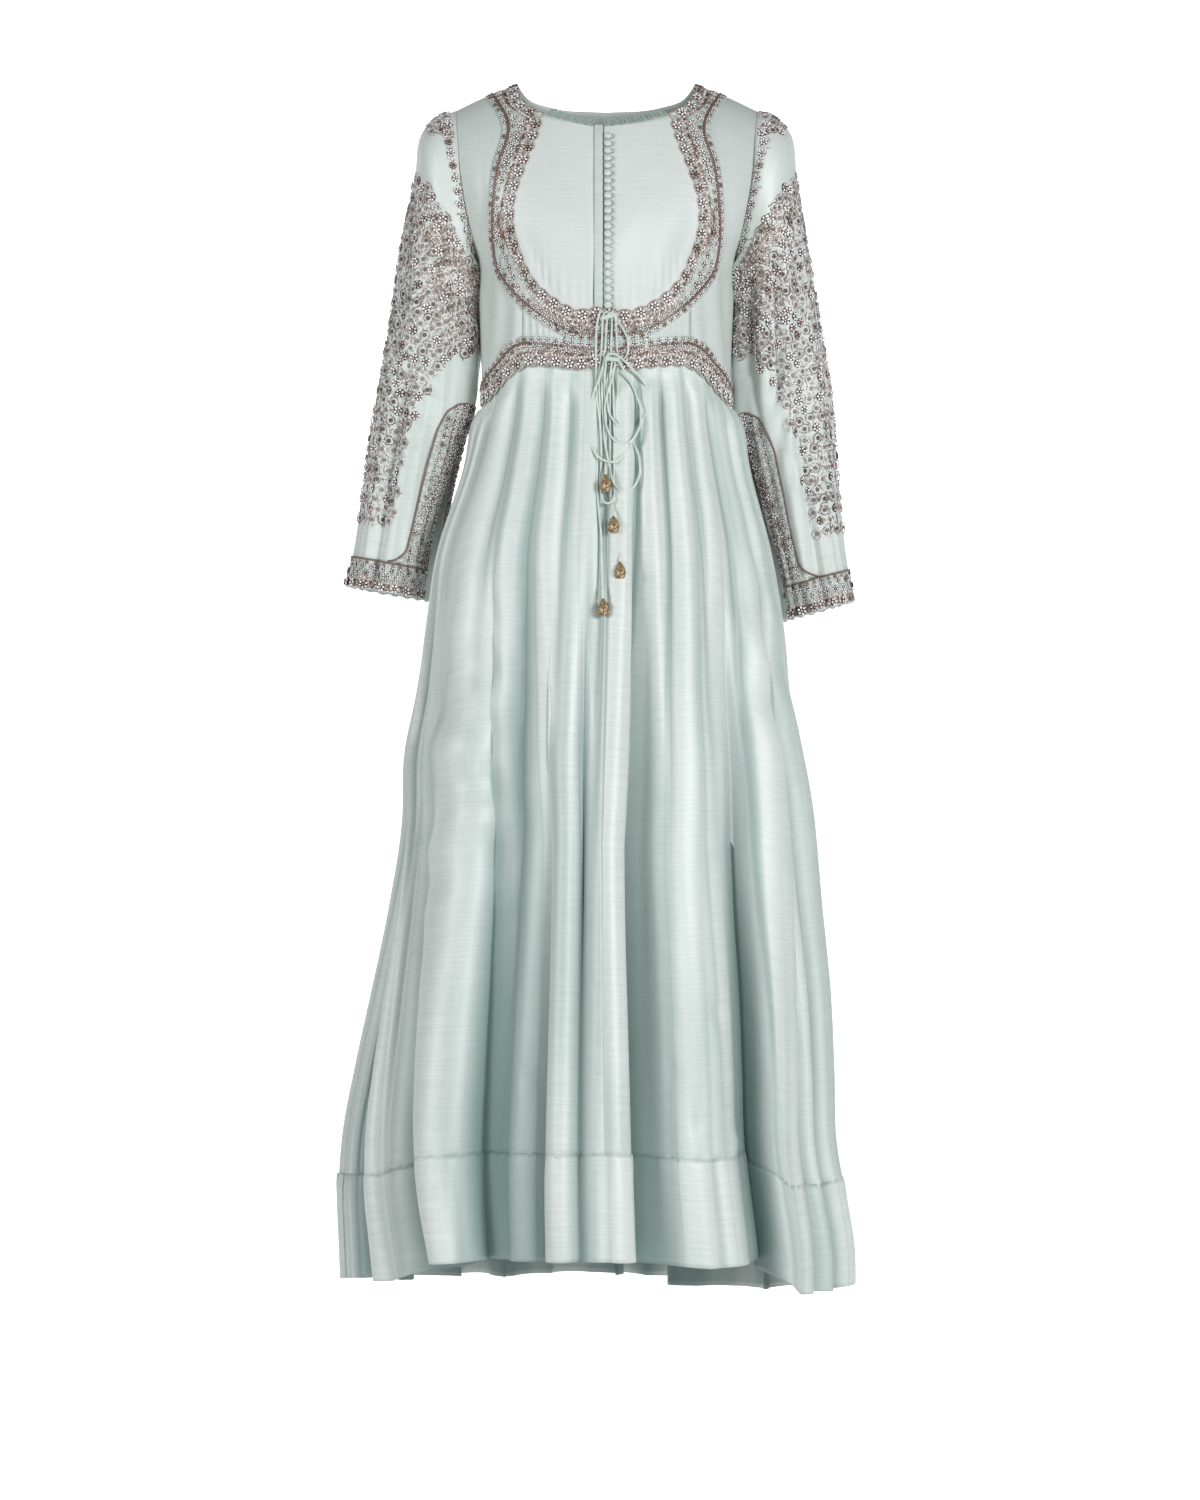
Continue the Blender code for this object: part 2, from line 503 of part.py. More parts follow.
def neck_loops(hand, word, neckline):
    """The reach of the row of small loops that stands on the front neck edge."""
    edge = torso(neckline[:, 0], neckline[:, 1], -1)
    raised = neckline + [0, LOOP_HEIGHT]
    outward = torso_outward(edge, -1)
    tip = torso(raised[:, 0], raised[:, 1], -1)
    grid = np.stack([tip, edge])
    grid[1] += (tip - edge) * (SEAM / LOOP_HEIGHT)
    grid = inset(grid, "lr", gap=SEAM)
    directions = np.stack([outward, outward])
    wall("neck_loops_" + word, [(mirrored(grid, hand), mirrored(directions, hand))], LOOP_THICK, silk)


def placket():
    """The folded strip between the right front yoke and the opening."""
    near, far = -OPENING_X, -OPENING_X + PLACKET_WIDTH
    top = on_torso([(near, NECK_FRONT_Z), (far, NECK_FRONT_Z)], 1, -1)
    bottom = on_torso([(near, YOKE_END_Z), (far, YOKE_END_Z)], 1, -1)
    strip = fill(top, bottom, straight(near, NECK_FRONT_Z, YOKE_END_Z, 9),
                 straight(far, NECK_FRONT_Z, YOKE_END_Z, 9))
    torso_wall("button_placket", strip, -1, -1, pale_silk)


def back_waist(count):
    """The waist seam behind, from the centre to the side, at equal steps of the angle."""
    dense = on_torso(BACK_WAIST, 200, 1)[::-1]
    angle = np.linspace(0, math.pi / 2, count + 1)
    return np.stack([angle, np.interp(angle, dense[:, 0], dense[:, 1])], axis=1)


def back():
    """The plain back bodice, from side seam to side seam."""
    across, upright = 9, 14
    neck_x, border_x, armhole_x = BACK_NECK[0][0], BORDER_SEAM[0][0], ARMHOLE[0][0]
    top = np.concatenate([on_torso(BACK_NECK, 4, 1)[::-1], shoulder_seam(neck_x, border_x, 1)[1:],
                          shoulder_seam(border_x, armhole_x, 4)[1:]])
    right = np.concatenate([on_torso(ARMHOLE, 10, 1),
                            torso_side(ARMHOLE[-1][1], WAIST_Z, upright - 10)[1:]])
    bottom = back_waist(across)
    half = fill(top, bottom, straight(0.0, BACK_NECK[-1][1], BACK_WAIST[-1][1], upright, 1), right)
    places = inset(torso(half[..., 0], half[..., 1], 1), "tbr")
    outward = torso_outward(places, 1)
    halves = [(mirrored(places, hand), mirrored(outward, hand)) for hand in (1, -1)]
    wall("back_bodice", halves, CLOTH, silk)


def buttons():
    """Covered buttons down the left edge of the opening, flat side to the cloth."""
    shape = bmesh.new()
    bmesh.ops.create_uvsphere(shape, u_segments=10, v_segments=6, radius=BUTTON_DIAMETER / 2)
    bmesh.ops.scale(shape, vec=(1, 1, BUTTON_THICK / BUTTON_DIAMETER), verts=shape.verts)
    mesh = bpy.data.meshes.new("button")
    shape.to_mesh(mesh)
    shape.free()
    mesh.shade_smooth()
    mesh.materials.append(silk)
    stand_off = BUTTON_THICK / 2 + SEAM
    for number in range(BUTTON_COUNT):
        z = np.array(BUTTON_TOP_Z - number * BUTTON_PITCH)
        angle = np.arcsin(BUTTON_X / read(TORSO, "z", "half", z))
        place = torso(angle, z, -1)
        outward = Vector(torso_outward(place[None], -1)[0])
        button = bpy.data.objects.new(f"front_button_{number + 1:02d}", mesh)
        button.location = Vector(place) + outward * stand_off
        button.rotation_euler = outward.to_track_quat("Z", "Y").to_euler()
        gown.objects.link(button)


# ---- the sleeves ----

def sleeve_rings(table_rows):
    """The armhole and a table's rings: the share of each, and its places round the sleeve."""
    turn = np.linspace(0, 2 * math.pi, 241)
    fore = on_torso(ARMHOLE, 120, -1)[::-1]
    hind = on_torso(ARMHOLE, 120, 1)
    armhole = np.concatenate([torso(fore[:, 0], fore[:, 1], -1), torso(hind[1:, 0], hind[1:, 1], 1)])
    armhole[:, 0] += SEAM
    rings, shares = [armhole], [0.0]
    for row in zip(*table_rows.values()):
        share, outer_x, outer_z, inner_x, inner_z, middle, fore_depth, hind_depth = row
        swing = np.cos(turn)
        depth = np.where(turn <= math.pi, -fore_depth, -hind_depth)
        rings.append(np.stack([
            (outer_x + inner_x) / 2 - swing * (outer_x - inner_x) / 2,
            middle + depth * np.sin(turn),
            (outer_z + inner_z) / 2 - swing * (outer_z - inner_z) / 2], axis=1))
        shares.append(share)
    return np.array(shares), np.array(rings)


def sleeve(cut, turn, share):
    """Place on a sleeve, drawn as a left one, at an angle from its inner line, forward first, and a
    share of its length: the rings are read at the angle and joined by a smooth curve."""
    shares, rings = cut
    turn, share = np.broadcast_arrays(np.asarray(turn, float), np.asarray(share, float))
    steps = np.linspace(0, 2 * math.pi, rings.shape[1])
    wrapped = np.mod(turn, 2 * math.pi)
    out = np.empty((*turn.shape, 3))
    for place in np.ndindex(turn.shape):
        rows = np.array([[np.interp(wrapped[place], steps, ring[:, axis]) for axis in range(3)]
                         for ring in rings])
        out[place] = smooth_rows(shares, rows, share[place])
    return out


def sleeve_outward(cut, turn, share):
    step = 1e-3
    share = np.clip(share, step, 1 - step)
    round_it = sleeve(cut, turn + step, share) - sleeve(cut, turn - step, share)
    down_it = sleeve(cut, turn, share + step) - sleeve(cut, turn, share - step)
    return unit(np.cross(down_it, round_it))


def slit_edges(share):
    """The angles of the slit's front and back edges: together at its top, apart at the cuff."""
    turned = smooth_step(share / SLIT_TOP) * math.radians(24)
    opened = smooth_step((share - SLIT_TOP) / (1 - SLIT_TOP)) * math.radians(17)
    return turned + opened, turned - opened


def smooth_step(t):
    t = np.clip(t, 0, 1)
    return t * t * (3 - 2 * t)


def sleeve_grid(cut, ways, shares):
    """Grid on the sleeve: ways are shares of the way round from the slit's front edge."""
    shares = np.asarray(shares, float)[:, None]
    fore, hind = slit_edges(shares)
    turn = fore + np.asarray(ways, float) * (2 * math.pi + hind - fore)
    share = np.broadcast_to(shares, turn.shape)
    return sleeve(cut, turn, share), sleeve_outward(cut, turn, share)


def sleeves(hand, word, rows):
    cut = sleeve_rings(rows)
    all_round = np.linspace(0, 1, 21)
    slit_shares = [SLIT_BAND_TOP, SLIT_TOP, 0.68, 0.77, 0.85, CUFF_BAND_TOP]
    shares = [0, 0.035, 0.08, 0.16, 0.27, 0.40, *slit_shares, 1.0]
    places, outward = sleeve_grid(cut, all_round, shares)
    wall("sleeve_" + word, [(mirrored(places, hand), mirrored(outward, hand))], CLOTH, silk)

    def laid(name, strips, band_shares, edges):
        """A band that lies on the sleeve: the sleeve's own places, moved out past it."""
        pieces = []
        for ways in strips:
            grid, out = sleeve_grid(cut, ways, band_shares)
            grid = inset(grid + out * (SEAM + BAND), edges)
            pieces.append((mirrored(grid, hand), mirrored(out, hand)))
        wall(name, pieces, BAND, thread)

    laid("slit_border_" + word, [all_round[:3], all_round[-3:]], slit_shares, "b")
    laid("cuff_border_" + word, [all_round], [CUFF_BAND_TOP, 1.0], "t")


# ---- the skirt ----

def fold_angles(height):
    """Angle of every trough at a height, and how deep it is there, in radians and metres."""
    fall = np.clip((height - WAIST_Z) / (HEM_Z - WAIST_Z), 0, 1)
    turn = np.stack([FOLDS["waist"], FOLDS["middle"], FOLDS["hem"]])
    angle = np.stack([np.interp(fall, (0, 0.5, 1), column) for column in turn.T], axis=-1)
    started = (FOLDS["start"] - height[..., None]) / (FOLDS["start"] - HEM_Z)
    return np.radians(angle), FOLDS["depth"] * smooth_step(np.clip(started, 0, 1) ** 0.8)


def follow(angle, height):
    """Where a line of the skirt has turned to at a height: the lines follow the troughs up."""
    hem = np.radians(FOLDS["hem"])
    shift = fold_angles(height)[0] - hem
    knots = np.concatenate([[hem[-1] - 2 * math.pi], hem, [hem[0] + 2 * math.pi]])
    shift = np.concatenate([shift[..., -1:], shift, shift[..., :1]], axis=-1)
    around = np.mod(angle, 2 * math.pi)
    k = np.clip(np.searchsorted(knots, around, side="right") - 1, 0, len(knots) - 2)
    low = np.take_along_axis(shift, k[..., None], -1)[..., 0]
    high = np.take_along_axis(shift, k[..., None] + 1, -1)[..., 0]
    return angle + low + (high - low) * smooth_step((around - knots[k]) / (knots[k + 1] - knots[k]))


def skirt(angle, height):
    """Place on the skirt. The angle is counted at the hem, and a line of one angle follows the
    folds up. The section is an ellipse, with a trough drawn in at each fold."""
    turned = follow(angle, height)
    side, ahead = np.sin(turned), np.cos(turned)
    half = np.where(side >= 0, read(SKIRT, "z", "left", height), read(SKIRT, "z", "right", height))
    deep = np.where(ahead >= 0, read(SKIRT, "z", "front", height), read(SKIRT, "z", "back", height))
    away = angle[..., None] - np.radians(FOLDS["hem"])
    away = np.abs((away + math.pi) % (2 * math.pi) - math.pi)
    width = np.radians(FOLDS["width"])
    dip = 0.72 * np.exp(-(away / width) ** 2) + 0.28 * np.exp(-(away / (2.6 * width)) ** 2)
    dip = np.sum(fold_angles(height)[1] * dip, axis=-1)
    scale = 1 - dip / np.hypot(half * side, deep * ahead)
    return np.stack([half * side * scale, -deep * ahead * scale, height], axis=-1)


def waist_height(angle):
    """Height of the waist seam at an angle from the front."""
    front_rows, back_rows = WAIST_ROWS
    folded = np.abs((angle + math.pi) % (2 * math.pi) - math.pi)
    before = np.interp(folded, front_rows[:, 0], front_rows[:, 1])
    behind = np.interp(math.pi - folded, back_rows[:, 0], back_rows[:, 1])
    return np.where(folded <= math.pi / 2, before, behind)


def hem_height(angle):
    return np.interp(np.degrees(angle) % 360, HEM["angle"], HEM["z"])


def skirt_at(angle, share):
    """Place on the skirt at a share of the way from the waist seam to the hem. Its top is tucked
    under the waist seam, and it leaves the torso's shape within a short fall."""
    seam_angle = follow(angle, np.full_like(angle, WAIST_Z))
    seam, foot = waist_height(seam_angle), hem_height(angle)
    top = seam + TUCK_UP
    height = top + share * (foot - top)
    half = read(TORSO, "z", "half", height) - TUCK_IN
    deep = np.where(np.cos(seam_angle) >= 0, read(TORSO, "z", "front", height),
                    read(TORSO, "z", "back", height)) - TUCK_IN
    tucked = np.stack([half * np.sin(seam_angle), -deep * np.cos(seam_angle), height], axis=-1)
    freed = smooth_step((seam - height) / TUCK_FALL)[..., None]
    return tucked + freed * (skirt(angle, height) - tucked)


def skirt_outward(angle, share):
    step = 2e-3
    share = np.clip(share, step, 1 - step)
    round_it = skirt_at(angle + step, share) - skirt_at(angle - step, share)
    down_it = skirt_at(angle, share + step) - skirt_at(angle, share - step)
    return unit(np.cross(down_it, round_it))


def skirt_columns(start, stop):
    """Angles of the grid lines of whole quarters: closer together in each trough."""
    if stop - start > 90:
        return np.concatenate([skirt_columns(start, start + 90)[:-1], skirt_columns(start + 90, stop)])
    lines = {float(stop)}
    for hem, width in zip(FOLDS["hem"], FOLDS["width"]):
        for offset in (-2.1, -1.0, 0, 1.0, 2.1):
            line = (hem + offset * width - start) % 360 + start
            lines.add(round(line, 2))
    kept = [float(start)]
    for line in sorted(lines):
        if line - kept[-1] > LINE_GAP and stop - line > LINE_GAP:
            kept.append(line)
    return np.radians([*kept, stop])


def skirt_panel(name, start, stop, shares, edges, material, gap=SEAM / 2):
    angle, share = np.meshgrid(skirt_columns(start, stop), shares)
    places = inset(skirt_at(angle, share), edges, gap)
    wall(name, [(places, skirt_outward(angle, share))], CLOTH, material)


def skirts():
    shares = [0, 0.05, 0.12, 0.22, 0.34, 0.47, 0.60, 0.74, 1 - HEM_BAND]
    quarters = {"skirt_front_left": (0, 90), "skirt_back_left": (90, 180),
                "skirt_back_right": (180, 270), "skirt_front_right": (270, 360)}
    for name, (start, stop) in quarters.items():
        skirt_panel(name, start, stop, shares, "tblr", silk)
    for name, start, stop in (("hem_band_front", 270, 450), ("hem_band_back", 90, 270)):
        skirt_panel(name, start, stop, [1 - HEM_BAND, 1 - HEM_BAND / 2, 1], "tlr", silk, SEAM)


# ---- the ties ----

def cloth_ahead(x, z):
    """How far forward the cloth reaches at a place on the front view, folds aside."""
    half = np.where(z > -0.345, read(TORSO, "z", "half", z), read(SKIRT, "z", "left", z))
    deep = np.where(z > -0.345, read(TORSO, "z", "front", z), read(SKIRT, "z", "front", z))
    return -deep * np.sqrt(1 - (x / half) ** 2)


def paced(run, count):
    """count places along a run, closer together where it bends."""
    step = np.diff(run, axis=0)
    length = np.linalg.norm(step, axis=1)
    turn = np.arccos(np.clip(np.sum(unit(step)[1:] * unit(step)[:-1], axis=1), -1, 1))
    way = np.r_[0, np.cumsum(length + BEND_PACE * np.r_[0, turn])]
    steps = np.linspace(0, way[-1], count)
    return np.stack([np.interp(steps, way, column) for column in run.T], axis=1)


def ties():
    for name, rows in TIES.items():
        ahead = cloth_ahead(rows["x"], rows["z"]) - rows["lift"]
        places = paced(route(np.stack([rows["x"], ahead, rows["z"]], axis=1)), CORD_PLACES)
        curve = bpy.data.curves.new(name, "CURVE")
        curve.dimensions = "3D"
        curve.bevel_depth = CORD_DIAMETER / 2
        curve.bevel_resolution = 2
        curve.use_fill_caps = True
        spline = curve.splines.new("POLY")
        spline.points.add(len(places) - 1)
        spline.points.foreach_set("co", np.c_[places, np.ones(len(places))].ravel())
        curve.materials.append(silk)
        gown.objects.link(bpy.data.objects.new(name, curve))
        bead(name.replace("tie_cord", "bead"), places[-1])


def bead(name, top):
    """A teardrop bead hanging under the end of a cord, turned about its upright axis."""
    profile = np.array([(0.0, 0.0), (0.16, -0.02), (0.24, -0.16), (0.50, -0.38), (0.92, -0.62),
                        (1.0, -0.78), (0.80, -0.93), (0.42, -0.99), (0.0, -1.0)])
    radius, height = profile[:, 0] * BEAD_WIDTH / 2, profile[:, 1] * BEAD_LENGTH
    mesh = bpy.data.meshes.new(name)
    rows = [(float(r), 0.0, float(h)) for r, h in zip(radius, height)]
    mesh.from_pydata(rows, [(k, k + 1) for k in range(len(rows) - 1)], [])
    thing = add(name, mesh, gilt)
    thing.location = (top[0], top[1], top[2] - SEAM)
    turned = thing.modifiers.new("turned", "SCREW")
    turned.steps = turned.render_steps = 12
    turned.use_merge_vertices = True
    turned.merge_threshold = 0.00005
    turned.use_smooth_shade = True


for leftover in list(bpy.data.objects):
    bpy.data.objects.remove(leftover)
gown = bpy.data.collections.new("anarkali_gown")
bpy.context.scene.collection.children.link(gown)

silk = finish("silk", (0.42, 0.55, 0.50), 0.42)
pale_silk = finish("pale_silk", (0.60, 0.70, 0.68), 0.45)
thread = finish("metal_thread", (0.20, 0.14, 0.12), 0.40, 0.7)
gilt = finish("gilt_bead", (0.40, 0.27, 0.13), 0.35, 0.8)

waist_front = front(1, "left")
front(-1, "right")
WAIST_ROWS = waist_front, back_waist(9)
placket()
back()
buttons()
sleeves(1, "left", SLEEVE_LEFT)
sleeves(-1, "right", SLEEVE_RIGHT)
skirts()
ties()
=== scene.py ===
"""An anarkali gown of slub silk, sewn with metal thread, as it hangs when worn."""
import json
import math

import bmesh
import bpy
import numpy as np
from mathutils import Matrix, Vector

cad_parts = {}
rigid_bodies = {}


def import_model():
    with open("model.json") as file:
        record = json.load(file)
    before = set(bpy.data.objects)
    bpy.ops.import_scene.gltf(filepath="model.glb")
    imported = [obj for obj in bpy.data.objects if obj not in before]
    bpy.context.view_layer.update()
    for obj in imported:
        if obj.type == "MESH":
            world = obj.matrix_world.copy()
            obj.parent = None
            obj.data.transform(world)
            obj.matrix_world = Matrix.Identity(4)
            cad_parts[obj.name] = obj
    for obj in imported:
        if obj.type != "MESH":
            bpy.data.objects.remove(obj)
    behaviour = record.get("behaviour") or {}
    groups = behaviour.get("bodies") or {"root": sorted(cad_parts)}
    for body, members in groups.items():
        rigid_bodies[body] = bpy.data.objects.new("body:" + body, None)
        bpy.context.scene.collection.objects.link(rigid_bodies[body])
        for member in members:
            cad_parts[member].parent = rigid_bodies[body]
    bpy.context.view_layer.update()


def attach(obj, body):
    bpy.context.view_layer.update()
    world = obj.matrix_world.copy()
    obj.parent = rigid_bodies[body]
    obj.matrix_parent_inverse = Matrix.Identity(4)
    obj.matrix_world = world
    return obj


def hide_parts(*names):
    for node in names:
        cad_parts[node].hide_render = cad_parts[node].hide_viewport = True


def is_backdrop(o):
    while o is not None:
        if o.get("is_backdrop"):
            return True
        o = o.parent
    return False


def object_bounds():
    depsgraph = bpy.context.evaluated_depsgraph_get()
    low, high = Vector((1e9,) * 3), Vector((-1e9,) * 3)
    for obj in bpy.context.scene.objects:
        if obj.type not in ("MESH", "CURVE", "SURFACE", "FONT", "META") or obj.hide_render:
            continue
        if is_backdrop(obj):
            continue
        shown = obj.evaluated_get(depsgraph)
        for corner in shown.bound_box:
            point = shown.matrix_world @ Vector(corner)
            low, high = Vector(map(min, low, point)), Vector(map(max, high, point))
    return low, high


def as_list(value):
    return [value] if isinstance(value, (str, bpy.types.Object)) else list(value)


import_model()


# ---- the studio ----
# A plain white floor, below the frame, that sweeps up behind the gown, three large soft lamps, and
# a camera level with the middle of the skirt, 5.5 m in front.

def shape(name, places, faces, cloth=None, closed=False):
    """A mesh from rows of places and faces. The UV map holds cloth, metres across and down it."""
    mesh = bpy.data.meshes.new(name)
    mesh.from_pydata(places.reshape(-1, 3).tolist(), [], faces.tolist())
    if cloth is not None:
        corners = np.empty(len(mesh.loops), np.int32)
        mesh.loops.foreach_get("vertex_index", corners)
        spread = mesh.uv_layers.new(name="cloth")
        spread.data.foreach_set("uv", cloth.reshape(-1, 2)[corners].ravel())
    if closed:
        welded = bmesh.new()
        welded.from_mesh(mesh)
        bmesh.ops.remove_doubles(welded, verts=welded.verts, dist=1e-6)
        welded.to_mesh(mesh)
        welded.free()
    mesh.shade_smooth()
    thing = bpy.data.objects.new(name, mesh)
    bpy.context.scene.collection.objects.link(thing)
    return thing


def cells(rows, columns):
    """The four corners of each cell of a grid, down and then across."""
    index = np.arange(rows * columns).reshape(rows, columns)
    return np.stack([index[:-1, :-1], index[1:, :-1], index[1:, 1:], index[:-1, 1:]],
                    axis=-1).reshape(-1, 4)


def stacked(*parts):
    """Arrays spread to one shape and put side by side along a last axis."""
    return np.stack(np.broadcast_arrays(*parts), axis=-1)


def toned(thing, tone):
    """Gives each place of a mesh its tone, from 0 to 1."""
    layer = thing.data.attributes.new("tone", "FLOAT", "POINT")
    layer.data.foreach_set("value", np.ravel(tone).astype(np.float32))
    return thing


def surface(name, *grids, closed=False):
    """One mesh over grids of places, rows by columns. With each grid comes the outward direction
    at its middle, which its faces turn to, and its cloth's map, or None."""
    faces, base = [], 0
    for places, outward, _ in grids:
        rows, columns = places.shape[:2]
        i, j = rows // 2, columns // 2
        down, across = places[i, j] - places[i - 1, j], places[i, j] - places[i, j - 1]
        quads = cells(rows, columns) + base
        faces.append(quads[:, ::-1] if np.dot(np.cross(down, across), outward) < 0 else quads)
        base += rows * columns
    maps = [cloth.reshape(-1, 2) for *_, cloth in grids if cloth is not None]
    return shape(name, np.concatenate([places.reshape(-1, 3) for places, *_ in grids]),
                 np.concatenate(faces), np.concatenate(maps) if maps else None, closed)


run = np.linspace(-4.0, 9.0, 160)
sweep = np.clip((run - 3.0) / 2.5, 0, 1)
floor_profile = np.stack([np.where(run < 3, run, 3 + 1.6 * np.sin(sweep * math.pi / 2)),
                          -1.95 + 1.6 * (1 - np.cos(sweep * math.pi / 2))
                          + np.clip(run - 5.5, 0, None)], axis=1)
floor_x = np.linspace(-6, 6, 8)
floor_places = stacked(floor_x, floor_profile[:, :1], floor_profile[:, 1:])
backdrop = surface("studio_floor", (floor_places, (0, -0.7, 0.7), None))
paper = bpy.data.materials.new("pale_paper")
paper.use_nodes = True
paper.node_tree.nodes["Principled BSDF"].inputs["Base Color"].default_value = (0.97, 0.97, 0.97, 1)
paper.node_tree.nodes["Principled BSDF"].inputs["Roughness"].default_value = 0.9
backdrop.data.materials.append(paper)
backdrop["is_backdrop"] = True

world = bpy.data.worlds.new("studio")
bpy.context.scene.world = world
world.use_nodes = True
world.node_tree.nodes["Background"].inputs["Color"].default_value = (1, 1, 1, 1)
world.node_tree.nodes["Background"].inputs["Strength"].default_value = 0.12
for name, place, aim, size, watts in (
        ("key_softbox", (-3.6, -2.4, 0.5), (0, 0, -0.7), 1.1, 80),
        ("fill_softbox", (2.6, -3.8, 0.3), (0, 0, -0.8), 1.4, 142),
        ("backdrop_lamp", (0, 1.4, 2.1), (0, 4.6, 1.1), 3.0, 270)):
    lamp = bpy.data.lights.new(name, "AREA")
    lamp.size, lamp.energy = size, watts
    stand = bpy.data.objects.new(name, lamp)
    stand.location = place
    direction = Vector(aim) - Vector(place)
    stand.rotation_euler = direction.to_track_quat("-Z", "Y").to_euler()
    bpy.context.scene.collection.objects.link(stand)

lens = bpy.data.cameras.new("camera")
CAMERA_AWAY, VIEW_TALL, SENSOR = 5.5, 1.71, 36
lens.sensor_width, lens.lens = SENSOR, CAMERA_AWAY * SENSOR / VIEW_TALL
camera = bpy.data.objects.new("camera", lens)
camera.location = (-0.007, -CAMERA_AWAY, -0.747)
camera.rotation_euler = (math.pi / 2, 0, 0)
bpy.context.scene.collection.objects.link(camera)
bpy.context.scene.camera = camera
bpy.context.scene.view_settings.view_transform = "Standard"


# ---- the tie cords ----
# Four silk rouleau cords, 2.4 mm thick, sewn inside the front opening in two pairs. Each pair is
# tied in a bow, and the ends hang down the skirt, each with a bead on it.

FULL_TURN = 2 * math.pi


def table(columns, *rows):
    """A short table: column names in one string, one tuple for each row."""
    return dict(zip(columns.split(), np.array(rows, float).T))


CORD_DIAMETER, CORD_RINGS = 0.0024, 330
CORD_STEP, CORD_EASE = 0.0005, 6        # metres between places, and how many each mean takes in
BEND_PACE = 0.035                       # metres of run that a bend of one radian counts as
TENTHS = 10000                          # tenths of a millimetre in a metre
# The torso's section at each height: half its width, and its depth before and behind the side seam.
TORSO = table(
    "z half front back",
    (0.05, 0.204, 0.098, 0.084), (0.0, 0.199, 0.103, 0.09), (-0.06, 0.192, 0.112, 0.098),
    (-0.12, 0.178, 0.122, 0.104), (-0.16, 0.162, 0.127, 0.105), (-0.188, 0.148, 0.128, 0.104),
    (-0.24, 0.1455, 0.123, 0.099), (-0.3, 0.143, 0.112, 0.095), (-0.36, 0.141, 0.106, 0.095),
)
# The skirt's outer folds at each height: reach to the right, left, front and back.
SKIRT = table(
    "z right left front back",
    (-0.33, 0.141, 0.141, 0.106, 0.095), (-0.36, 0.1425, 0.144, 0.108, 0.097),
    (-0.4275, 0.158, 0.158, 0.12, 0.111), (-0.53, 0.191, 0.184, 0.139, 0.135),
    (-0.6, 0.2, 0.195, 0.152, 0.152), (-0.69, 0.211, 0.207, 0.168, 0.172),
    (-0.752, 0.222, 0.2205, 0.179, 0.185), (-0.826, 0.224, 0.233, 0.191, 0.199),
    (-0.918, 0.238, 0.2435, 0.205, 0.215), (-1.028, 0.26, 0.2565, 0.22, 0.232),
    (-1.11, 0.277, 0.2615, 0.23, 0.243), (-1.19, 0.291, 0.265, 0.238, 0.252),
    (-1.25, 0.2945, 0.276, 0.242, 0.257), (-1.3, 0.2925, 0.285, 0.244, 0.259),
    (-1.4, 0.2875, 0.286, 0.245, 0.26),
)

